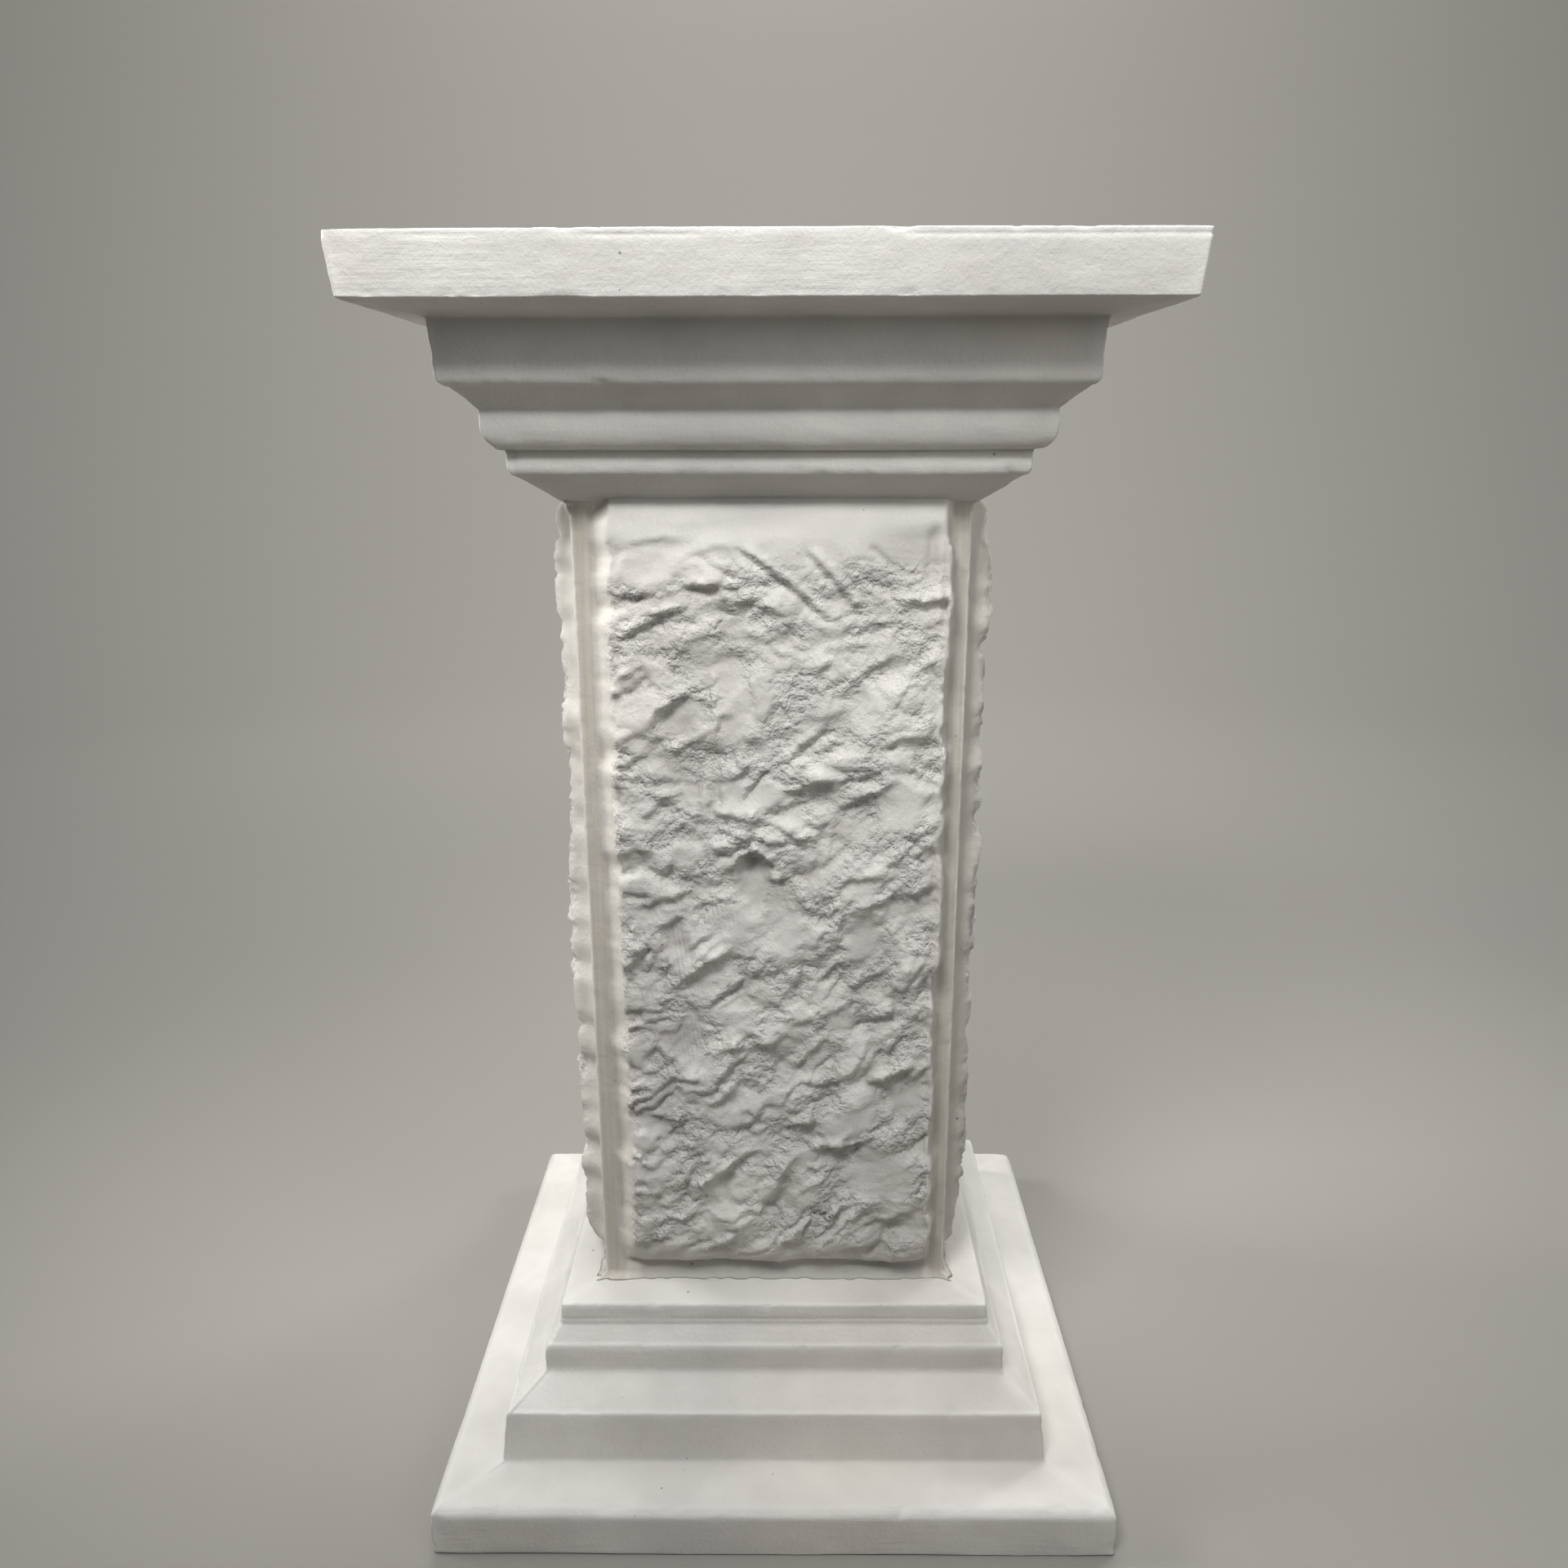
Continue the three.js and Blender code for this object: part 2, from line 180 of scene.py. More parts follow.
def close_steps(outline, longest):
    """The same outline with more points: each straight stretch is parted evenly, none longer than asked."""
    points = [outline[0]]
    for start, end in zip(outline[:-1], outline[1:]):
        count = max(1, int(np.ceil(np.hypot(end[0] - start[0], end[1] - start[1]) / longest)))
        for k in range(1, count + 1):
            points.append((start[0] + (end[0] - start[0]) * k / count, start[1] + (end[1] - start[1]) * k / count))
    return np.array(points)


def moulding(outline, longest, arrises, lip, seed):
    """A square casting: the outline carried round a square with round corners. Each point is pushed along
    the outline's own outward direction by slow waves, by fine ripples, and by nicks that gather on arrises;
    at the lip's height it is cut in by a thin line that comes and goes."""
    profile = close_steps(outline, longest)
    run = np.concatenate(([0], np.cumsum(np.hypot(*np.diff(profile, axis=0).T))))
    tangent = np.gradient(profile, run, axis=0)
    tangent /= np.linalg.norm(tangent, axis=1, keepdims=True)
    outward = np.stack((tangent[:, 1], -tangent[:, 0]), axis=1)
    side_turn, arc_turn, share, around = around_square()
    reach = profile[:, 0][:, None]
    round_mm = around[None, :] * reach
    run_mm = run[:, None] + 0 * round_mm
    edge = np.zeros_like(round_mm)
    for arris in arrises:
        distance = np.hypot(profile[:, 0] - arris[0], profile[:, 1] - arris[1])[:, None]
        edge = np.maximum(edge, np.exp(-(distance / ARRIS_WEAR) ** 2))
    corner = np.exp(-(((1 - np.abs(share)) * 200)[None, :] / CORNER_WEAR) ** 2)
    push = SLOW_WAVE * smooth_noise(round_mm / 85, run_mm / 60, seed)
    push += SHORT_WAVE * slope_noise(round_mm / 21, run_mm / 9, seed + 1)
    push += FINE_WAVE * slope_noise(round_mm / 7, run_mm / 2.6, seed + 2)
    dents = np.clip(smooth_noise(round_mm / 5.5, run_mm / 9, seed + 3) - 0.55, 0, 1) * DENT_DEPTH
    chips = np.clip(smooth_noise(round_mm / 17, run_mm / 14, seed + 4) - 0.62, 0, 1) * CHIP_DEPTH
    knocked = 0.2 + 1.1 * np.clip(smooth_noise(run_mm / 11, around[None, :], seed + 5) - 0.1, 0, 1)
    push = push - edge * (dents + chips + 0.25) - corner * knocked
    push = push * ease(np.minimum(run, run[-1] - run) / END_EASE)[:, None]
    at_lip = np.exp(-((profile[:, 1] - lip) / LIP_WIDTH) ** 2)[:, None]
    push = push - LIP_DEPTH * at_lip * ease(0.45 + 1.4 * smooth_noise(round_mm / 60, 0 * round_mm, seed + 6))
    half = profile[:, 0][:, None] + outward[:, 0][:, None] * push
    height = np.clip(profile[:, 1][:, None] + outward[:, 1][:, None] * push, profile[:, 1].min(), profile[:, 1].max())
    turn = side_turn + arc_turn
    inner = half - CORNER_RADIUS
    x = inner * (np.cos(side_turn) * share + np.sin(side_turn)) + CORNER_RADIUS * np.sin(turn)
    y = inner * (np.sin(side_turn) * share - np.cos(side_turn)) - CORNER_RADIUS * np.cos(turn)
    widest = profile[:, 0].max()
    x, y = np.clip(x, -widest, widest), np.clip(y, -widest, widest)
    worn = np.clip(edge * 0.6 + corner * 0.4, 0, 1)
    return np.stack((x, y, height + 0 * x), axis=-1), round_mm, run_mm, worn


def ring_faces(rings, count):
    """Four-sided faces between neighbouring rings of count points, each face running along the lower ring first."""
    ring, place = np.meshgrid(np.arange(rings - 1), np.arange(count), indexing="ij")
    after = (place + 1) % count
    return np.stack((ring * count + place, ring * count + after, (ring + 1) * count + after,
                     (ring + 1) * count + place), axis=-1).reshape(-1, 4)


def closed_tower(name, points, unrolled, marks):
    """A closed mesh from rings of points, lowest ring first, each ring counter-clockwise seen from above:
    four-sided faces between rings, and a fan to the middle at the foot and at the head. unrolled is
    each point's place on the surface laid flat, and marks are named values, one for each point."""
    rings, count = points.shape[:2]
    quads = ring_faces(rings, count)
    here, there = np.arange(count), (np.arange(count) + 1) % count
    foot, head = rings * count, rings * count + 1
    top = (rings - 1) * count
    foot_fan = np.stack((np.full(count, foot), there, here), axis=1)
    head_fan = np.stack((np.full(count, head), top + here, top + there), axis=1)
    middles = np.stack((points[0].mean(axis=0), points[-1].mean(axis=0)))
    mesh = bpy.data.meshes.new(name)
    mesh.from_pydata(np.concatenate((points.reshape(-1, 3), middles)) * MM, [],
                     quads.tolist() + foot_fan.tolist() + head_fan.tolist())
    mesh.shade_smooth()
    u, v = unrolled
    u_next = np.concatenate((u[:, 1:], (2 * u[:, -1] - u[:, -2])[:, None]), axis=1)
    v_next = np.roll(v, -1, axis=1)
    corners = np.stack((np.stack((u[:-1], v[:-1]), -1), np.stack((u_next[:-1], v_next[:-1]), -1),
                        np.stack((u_next[1:], v_next[1:]), -1), np.stack((u[1:], v[1:]), -1)), axis=2)
    flat = np.concatenate((corners.reshape(-1, 2), np.zeros((count * 6, 2)))) * MM
    mesh.uv_layers.new(name="surface").data.foreach_set("uv", flat.astype(np.float32).ravel())
    for mark, values in marks.items():
        column = np.concatenate((values.ravel(), (values[0].mean(), values[-1].mean()))).astype(np.float32)
        mesh.attributes.new(mark, "FLOAT", "POINT").data.foreach_set("value", column)
    piece = bpy.data.objects.new(name, mesh)
    bpy.context.scene.collection.objects.link(piece)
    return piece


def plaster(name, brush_scale, crumb_depth):
    """White gypsum plaster: three tones of soft mottling, painted shade and dirt in hollows and creases, painted
    shade in pinholes, lighter rubbed edges, fine grain, and brush marks whose stretch is set by brush_scale.
    Where the surface was left rough, a crumbly grain is added, crumb_depth deep."""
    material = bpy.data.materials.new(name)
    material.use_nodes = True
    nodes, links = material.node_tree.nodes, material.node_tree.links
    shader = nodes["Principled BSDF"]
    place = nodes.new("ShaderNodeTexCoord").outputs["Object"]

    def noise(scale, detail, roughness=0.5, stretch=None):
        """Cloudy noise from 0 to 1 over the casting, its place stretched along the axes where that is asked."""
        source = place
        if stretch:
            mapping = nodes.new("ShaderNodeMapping")
            mapping.inputs["Scale"].default_value = stretch
            links.new(place, mapping.inputs["Vector"])
            source = mapping.outputs["Vector"]
        node = nodes.new("ShaderNodeTexNoise")
        node.inputs["Scale"].default_value = scale
        node.inputs["Detail"].default_value = detail
        node.inputs["Roughness"].default_value = roughness
        links.new(source, node.inputs["Vector"])
        return node.outputs["Fac"]

    def spread(value, low, high, to_low=0.0, to_high=1.0):
        """A value between low and high carried evenly to between to_low and to_high, and held at the ends."""
        node = nodes.new("ShaderNodeMapRange")
        node.inputs["From Min"].default_value = low
        node.inputs["From Max"].default_value = high
        node.inputs["To Min"].default_value = to_low
        node.inputs["To Max"].default_value = to_high
        links.new(value, node.inputs["Value"])
        return node.outputs["Result"]

    def work(kind, first, second):
        """One sum on two values, each a number or an output."""
        node = nodes.new("ShaderNodeMath")
        node.operation = kind
        for socket, value in zip(node.inputs, (first, second)):
            if isinstance(value, (int, float)):
                socket.default_value = value
            else:
                links.new(value, socket)
        return node.outputs["Value"]

    def times(first, second):
        """Product of two values."""
        return work("MULTIPLY", first, second)

    def tint(share, under, over):
        """A share of the colour over, and the rest of the colour under."""
        node = nodes.new("ShaderNodeMix")
        node.data_type = "RGBA"
        links.new(share, node.inputs["Factor"])
        for socket, value in ((node.inputs[6], under), (node.inputs[7], over)):
            if isinstance(value, tuple):
                socket.default_value = value
            else:
                links.new(value, socket)
        return node.outputs[2]

    def mark(label):
        """A named value that the mesh carries at each point."""
        node = nodes.new("ShaderNodeAttribute")
        node.attribute_name = label
        return node.outputs["Fac"]

    holes = nodes.new("ShaderNodeTexVoronoi")
    holes.inputs["Scale"].default_value = 62
    links.new(place, holes.inputs["Vector"])
    lucky = nodes.new("ShaderNodeSeparateColor")
    links.new(holes.outputs["Color"], lucky.inputs["Color"])
    hole_here = spread(lucky.outputs["Red"], 0.80, 0.82)
    hole_width = spread(lucky.outputs["Green"], 0, 1, 0.025, 0.07)
    hole = times(work("LESS_THAN", holes.outputs["Distance"], hole_width), hole_here)

    ridges = nodes.new("ShaderNodeTexNoise")
    ridges.noise_type = "RIDGED_MULTIFRACTAL"
    for label, value in (("Scale", 52), ("Detail", 4), ("Roughness", 0.6), ("Offset", 0.9), ("Gain", 1.6)):
        ridges.inputs[label].default_value = value
    links.new(place, ridges.inputs["Vector"])
    crease = spread(ridges.outputs["Fac"], 0.2, 2.2)

    mottling = spread(noise(9, 3, 0.6), 0.38, 0.66)
    patches = spread(noise(3.2, 2, 0.5), 0.5, 0.75)
    color = tint(mottling, PLASTER_GREY, PLASTER_WHITE)
    color = tint(times(patches, 0.35), color, PLASTER_WARM)
    color = tint(times(spread(noise(75, 2, 0.65), 0.55, 0.8), 0.25), color, PLASTER_GREY)
    # Painted shade and dirt where the relief sinks, and a painted shadow under the panel's foot; on the capital, dirt
    # on its handled top.
    color = tint(times(mark("hollow"), 0.68), color, SHADE_AND_DIRT_GREY)
    # Painted shade and dirt in the creases of rough plaster, where the bump casts no shadow.
    color = tint(times(times(crease, mark("rough")), 0.38), color, SHADE_AND_DIRT_GREY)
    streak = spread(noise(1.0, 3, 0.6, stretch=brush_scale), 0.35, 0.65, 0.55, 0.95)
    color = tint(times(mark("margin"), streak), color, MARGIN_GREY)
    color = tint(times(mark("filler"), 0.45), color, FILLER_CREAM)
    color = tint(times(mark("worn"), 0.5), color, RUBBED_WHITE)
    # Painted shade inside the pinholes.
    color = tint(times(hole, 0.8), color, PINHOLE_SHADE_GREY)
    links.new(color, shader.inputs["Base Color"])
    links.new(spread(noise(40, 1, 0.6), 0.3, 0.7, 0.74, 0.94), shader.inputs["Roughness"])
    shader.inputs["Specular IOR Level"].default_value = 0.35

    grain = times(noise(380, 2, 0.7), GRAIN_DEPTH)
    ripple = times(noise(60, 2, 0.55), RIPPLE_DEPTH)
    brushed_here = spread(noise(11, 1, 0.6), 0.35, 0.75)
    brush = times(times(noise(1.0, 3, 0.6, stretch=brush_scale), brushed_here), BRUSH_DEPTH)
    torn = work("ABSOLUTE", work("SUBTRACT", noise(110, 3, 0.66), 0.5), 0)
    broken = work("SUBTRACT", noise(230, 3, 0.74), times(torn, 2.2))
    cells = nodes.new("ShaderNodeTexVoronoi")
    cells.inputs["Scale"].default_value = 190
    cells.inputs["Detail"].default_value = 0
    links.new(place, cells.inputs["Vector"])
    broken = work("SUBTRACT", broken, times(cells.outputs["Distance"], 0.8))
    broken = work("SUBTRACT", broken, times(crease, 0.55))
    crumb = times(times(broken, mark("rough")), crumb_depth)
    smooth_part = times(brush, work("SUBTRACT", 1.0, mark("rough")))
    comb = nodes.new("ShaderNodeTexWave")
    comb.inputs["Scale"].default_value = 92
    comb.inputs["Distortion"].default_value = 3.5
    comb.inputs["Detail"].default_value = 2
    comb.inputs["Detail Scale"].default_value = 0.4
    comb_lean = nodes.new("ShaderNodeMapping")
    comb_lean.inputs["Rotation"].default_value = (0, 0.16, 0)
    links.new(place, comb_lean.inputs["Vector"])
    links.new(comb_lean.outputs["Vector"], comb.inputs["Vector"])
    teeth = times(times(comb.outputs["Fac"], mark("combed")), TEETH_DEPTH)
    surface = work("ADD", work("ADD", grain, ripple), work("ADD", smooth_part, work("ADD", crumb, teeth)))
    surface = work("SUBTRACT", surface, times(hole, PINHOLE_DEPTH))
    bump = nodes.new("ShaderNodeBump")
    bump.inputs["Strength"].default_value = 1.0
    bump.inputs["Distance"].default_value = 1.0
    links.new(surface, bump.inputs["Height"])
    links.new(bump.outputs["Normal"], shader.inputs["Normal"])
    return material


def finish_piece(piece, node, material):
    """Gives a casting its plaster and sets it in the place of the solid."""
    piece.data.materials.append(material)
    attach(piece, "root")
    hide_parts(node)


foot = FOOT_WIDTH / 2
plinth = PLINTH_WIDTH / 2
band = BASE_BAND_WIDTH / 2
seat = SEAT_WIDTH / 2
plinth_foot = FOOT_EDGE_HEIGHT + FOOT_CHAMFER + FOOT_TOP_RISE
plinth_head = plinth_foot + PLINTH_HEIGHT
band_foot = plinth_head + BASE_SPLAY_HEIGHT
band_head = band_foot + BASE_BAND_HEIGHT
seat_foot = band_head + BASE_SHOULDER_HEIGHT
seat_head = seat_foot + SEAT_HEIGHT
under_shaft = SHAFT_FOOT_WIDTH / 2
base_outline = [
    (foot - 60, 0), (foot - 8, 0),
    *arc_points((foot - 2, 0.3), (foot - 0.4, 2), False),
    (foot - 0.4, FOOT_EDGE_HEIGHT - 1),
    (foot - 1.2, FOOT_EDGE_HEIGHT + 1),
    (foot - FOOT_CHAMFER, FOOT_EDGE_HEIGHT + FOOT_CHAMFER - 0.8),
    (foot - FOOT_CHAMFER - 2, FOOT_EDGE_HEIGHT + FOOT_CHAMFER),
    (plinth + 3, plinth_foot - 0.3), (plinth + 0.8, plinth_foot + 0.4), (plinth, plinth_foot + 2),
    *arc_points((plinth - PLINTH_DRAFT, plinth_head - ARRIS_RADIUS),
                (plinth - PLINTH_DRAFT - ARRIS_RADIUS, plinth_head), True),
    (band + 3.5, band_foot - 2), (band + 1.2, band_foot - 0.2), (band, band_foot + 2.4),
    *arc_points((band, band_head - ARRIS_RADIUS), (band - ARRIS_RADIUS, band_head + ARRIS_RADIUS), True),
    (seat + 1.4, seat_foot - 1), (seat + 0.4, seat_foot + 0.2), (seat + 0.4, seat_foot + 3),
    (seat + 0.2, seat_foot + 4.2), (seat + 0.1, seat_foot + 5), (seat, seat_foot + 5.8),
    *arc_points((seat - 0.5, seat_head - ARRIS_RADIUS), (seat - 0.5 - ARRIS_RADIUS, seat_head), True),
    (under_shaft + 14, SHAFT_FOOT - 1.9), (under_shaft + 7, SHAFT_FOOT - 0.3),
    (under_shaft + 3, SHAFT_FOOT), (under_shaft - 1, SHAFT_FOOT), (under_shaft - 4, SHAFT_FOOT),
]
base_arrises = [(foot - 1, FOOT_EDGE_HEIGHT + 1), (foot - FOOT_CHAMFER, FOOT_EDGE_HEIGHT + FOOT_CHAMFER),
                (plinth - PLINTH_DRAFT, plinth_head), (band, band_head), (seat, seat_head)]
points, round_mm, run_mm, worn = moulding(base_outline, OUTLINE_STEP, base_arrises, seat_foot + 4.6, 3)
base = closed_tower("base_casting", points, (round_mm, run_mm), {"worn": worn})
finish_piece(base, "base", plaster("plaster_base", (16, 16, 260), 0.0))

# Shaft: one casting, bedded on the base. Smooth corner margins run up its four arrises, and between
# them four panels stand proud, struck from rough hewn work, combed and scratched while the clay was soft.
SHAFT_HEAD_WIDTH = 271
SHAFT_HEIGHT = 1000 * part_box("shaft")[1].z - SHAFT_FOOT
HEAD_COVE_SPREAD = 4
HEAD_COVE_HEIGHT = 6
HEAD_BEDDING = 3
CORNER_MARGIN = 15
FLANK_RUN = 7
FRONT_LEFT_FLANK_RUN = 11.5
FRONT_RIGHT_MARGIN = 11
FRONT_RIGHT_FLANK_RUN = 4.5
PANEL_PROUD = 17
PANEL_FOOT_MARGIN = 16
PANEL_FOOT_TURN = 34
PANEL_HEAD_TURN = 42
PANEL_HEAD_PROUD = 7
SMOOTH_HEAD = 11
FOOT_HOLLOW = 4
FOOT_SAG = 3.5
FOOT_FILLET = 5
EDGE_BITE = 3
EDGE_BITE_PITCH = 17
EDGE_RAGGED = 1.6
EDGE_FINE_RAGGED = 0.7
FOOT_WAVE = 2.6
FOOT_RIPPLE = 1.6
HEAD_BEAD = 2.4
FACE_WAVER = 0.35
ARRIS_CHIP = 1.4
GRAIN_TURN = np.radians(42)
LUMP_SIZE = 38
LUMP_STRETCH = 1.9
LUMP_HEIGHT = 3.4
BROAD_BEND = 2.4
SHORT_BEND = 1.3
LEANING_CLODS = 5.4
LEVEL_CLODS = 5.0
TORN_CLODS = 1.6
SMALL_CLODS = 1.7
CRUMB_CLODS = 0.7
DRAWN_HALF_WIDTH = 111.5
DRAWN_HEIGHT = 580
SHAFT_ARRIS_RADIUS = 2.2
ROCK_STEPS = (122, 56, 56, 56)
MARGIN_STEPS = 3
FLANK_STEPS = 4
SHAFT_ROWS = 275
CRUMB_DEPTH = 0.0018

# Torn steps: drop, softness, then the step's line. The surface is proud on the line's left hand.
FRONT_STEPS = [
    (2.6, 2, (-106, 549), (-88, 556), (-62, 557), (-44, 562)),
    (2.4, 1.8, (-64, 541), (-50, 549), (-35, 553), (-14, 548)),
    (1.8, 1.6, (-68, 528), (-58, 539), (-42, 541), (-26, 536)),
    (5.2, 1.6, (-118, 526), (-98, 520), (-75, 521), (-60, 524), (-44, 527), (-24, 526), (-6, 520)),
    (4.6, 1.5, (-114, 490), (-90, 498), (-80, 502), (-74, 508), (-60, 512), (-46, 521)),
    (2, 1.3, (-72, 488), (-58, 492), (-40, 492), (-30, 490)),
    (4.2, 1.8, (-52, 510), (-34, 516), (-14, 516), (2, 510), (14, 500)),
    (2.6, 1.5, (-32, 486), (-22, 480), (-12, 479)), (2.4, 1.5, (-106, 474), (-96, 475), (-86, 479)),
    (3.6, 1.6, (-108, 461), (-98, 465), (-88, 471), (-78, 472)), (4, 1.8, (-112, 451), (-100, 454), (-90, 460)),
    (5, 1.8, (-88, 424), (-82, 434), (-78, 441), (-68, 446), (-58, 451), (-48, 448)),
    (2.6, 1.6, (-106, 420), (-94, 424), (-84, 430)), (4.2, 1.8, (-74, 409), (-62, 415), (-52, 419), (-42, 426)),
    (3.2, 1.6, (-104, 402), (-92, 408), (-78, 411)), (2.2, 1.5, (-38, 440), (-30, 439), (-22, 437)),
    (6, 1.8, (76, 513), (92, 515), (124, 516)), (2, 1.4, (50, 513), (66, 516), (84, 514)),
    (2.2, 1.3, (58, 500), (76, 500), (96, 501)), (2.2, 1.3, (8, 487), (22, 485), (34, 488)),
    (2.4, 1.3, (36, 482), (50, 483), (60, 486), (72, 490)), (3.2, 1.6, (58, 464), (66, 471), (76, 476), (86, 478)),
    (5.2, 2, (88, 466), (98, 470), (114, 476)), (3, 1.5, (28, 462), (34, 472), (42, 478)),
    (3.2, 1.5, (44, 449), (54, 457), (60, 463), (68, 465)),
    (3.4, 1.6, (4, 434), (16, 438), (34, 435), (44, 438), (54, 443)), (2.8, 1.5, (0, 420), (10, 428), (24, 431)),
    (2.2, 1.4, (-20, 419), (-12, 421), (-6, 421)), (2.4, 1.4, (76, 406), (80, 416), (88, 424)),
    (2.4, 1.4, (88, 421), (98, 423), (110, 424)), (4, 1.8, (-42, 390), (-32, 395), (-22, 398), (-14, 405)),
    (3.6, 1.6, (-22, 374), (-17, 386), (-10, 396), (2, 404)),
    (5.6, 1.8, (2, 388), (14, 386), (30, 389), (46, 391), (56, 394)),
    (6.4, 2.2, (36, 372), (50, 373), (62, 380), (74, 388), (92, 397)), (3, 1.6, (-12, 370), (2, 371), (16, 367)),
    (6.4, 1.6, (-36, 356), (-18, 351), (-4, 348), (14, 348)), (2.6, 1.4, (-36, 338), (-22, 339), (-8, 341)),
    (9, 2, (-32, 322), (-22, 337), (-8, 339), (4, 326)), (3.8, 1.5, (-4, 320), (4, 318), (14, 319)),
    (2.6, 1.3, (27, 290), (24, 302), (20, 312), (12, 322)), (3.4, 1.8, (90, 350), (100, 353), (112, 360)),
    (4, 1.7, (46, 319), (60, 320), (72, 321), (84, 325)),
    (3, 1.5, (46, 288), (54, 295), (66, 298), (78, 302), (90, 312)), (3, 1.5, (42, 270), (46, 284), (52, 298)),
    (2.2, 1.3, (74, 280), (79, 296), (88, 308)), (4.6, 1.8, (94, 306), (104, 310), (116, 318)),
    (4.2, 1.6, (-94, 360), (-86, 368), (-78, 377), (-66, 384)), (2.8, 1.5, (-74, 350), (-62, 358), (-50, 362)),
    (3, 1.6, (-112, 338), (-96, 341), (-82, 340)), (3, 1.5, (-80, 318), (-74, 330), (-68, 344)),
    (4.4, 1.7, (-106, 299), (-90, 299), (-78, 304), (-62, 309), (-56, 316)),
    (2.6, 1.4, (-74, 318), (-64, 322), (-52, 322), (-42, 327)),
    (2.6, 1.2, (-12, 299), (-22, 302), (-36, 307), (-46, 313)), (3.4, 1.8, (-60, 292), (-54, 299), (-42, 303)),
    (5.6, 2, (-88, 262), (-82, 272), (-77, 284), (-70, 291), (-58, 291)),
    (3.2, 1.6, (-110, 262), (-98, 265), (-88, 270)),
    (6.4, 2.2, (-72, 234), (-60, 248), (-48, 257), (-36, 263), (-26, 270)),
    (3.8, 1.6, (-58, 220), (-44, 226), (-32, 234), (-24, 242), (-16, 252)),
    (3.4, 2, (6, 240), (20, 247), (36, 246), (46, 251), (60, 252)),
    (2.8, 1.5, (48, 232), (60, 238), (72, 244), (84, 258)), (2.6, 1.5, (92, 236), (98, 248), (104, 262), (116, 266)),
    (3, 1.5, (-112, 214), (-100, 218), (-92, 218)), (2.6, 1.4, (-110, 202), (-98, 204), (-88, 206)),
    (1.8, 1.2, (-94, 189), (-84, 185), (-72, 176)), (1.8, 1.2, (-104, 174), (-94, 168), (-84, 165)),
    (4, 2.2, (-82, 162), (-66, 165), (-50, 166)), (3.4, 1.6, (-114, 153), (-102, 155), (-90, 156)),
    (4.2, 1.7, (-42, 188), (-28, 190), (-12, 191), (2, 194), (10, 204)),
    (3.2, 1.6, (-44, 160), (-34, 170), (-24, 179), (-14, 190)),
    (3.2, 1.6, (-50, 140), (-38, 148), (-28, 158), (-16, 166)), (3.6, 1.8, (-10, 152), (-2, 164), (4, 178)),
    (3.4, 1.6, (8, 170), (20, 176), (30, 188), (40, 198)), (3.4, 1.6, (26, 200), (34, 212), (48, 220), (64, 228)),
    (3.2, 1.6, (44, 158), (56, 168), (66, 182), (72, 196)), (2.8, 1.5, (22, 158), (36, 160), (50, 159)),
    (3, 1.6, (68, 210), (80, 214), (92, 218)), (3.4, 1.8, (-106, 131), (-90, 133), (-72, 130), (-54, 130)),
    (3.4, 1.6, (-32, 118), (-20, 126), (-12, 136), (-4, 150)), (5, 2, (6, 120), (16, 126), (28, 128), (36, 132)),
    (5.4, 2, (20, 104), (38, 108), (54, 107), (70, 110), (84, 118)),
    (5, 2.2, (66, 157), (80, 162), (94, 170), (112, 174)), (4.2, 1.8, (-116, 101), (-104, 98), (-94, 92), (-86, 86)),
    (3, 1.5, (-92, 102), (-78, 105), (-66, 108), (-52, 108)),
    (3.8, 1.6, (-60, 70), (-48, 81), (-36, 88), (-26, 97), (-12, 104)),
    (4, 2.2, (-10, 54), (-2, 68), (6, 84), (14, 98), (24, 108)), (3.4, 1.7, (-110, 66), (-98, 68), (-84, 70)),
    (3.2, 1.8, (14, 64), (26, 74), (38, 80), (50, 92)), (3, 1.6, (34, 34), (44, 46), (54, 58)),
    (2.8, 1.5, (56, 42), (66, 52), (76, 60)), (3.2, 1.7, (66, 40), (82, 43), (96, 50), (112, 54)),
    (3.2, 1.8, (-40, 34), (-24, 40), (-12, 50), (-6, 62)), (3.4, 1.8, (-84, 40), (-70, 46), (-58, 58), (-54, 70)),
    (3.6, 2, (-64, 12), (-48, 20), (-34, 28), (-18, 32)), (3.4, 2, (-4, 20), (10, 26), (22, 36), (32, 52)),
    (3.2, 2, (42, 14), (58, 20), (76, 22), (92, 24)), (3.2, 2, (-112, 22), (-96, 24), (-84, 30)),
]
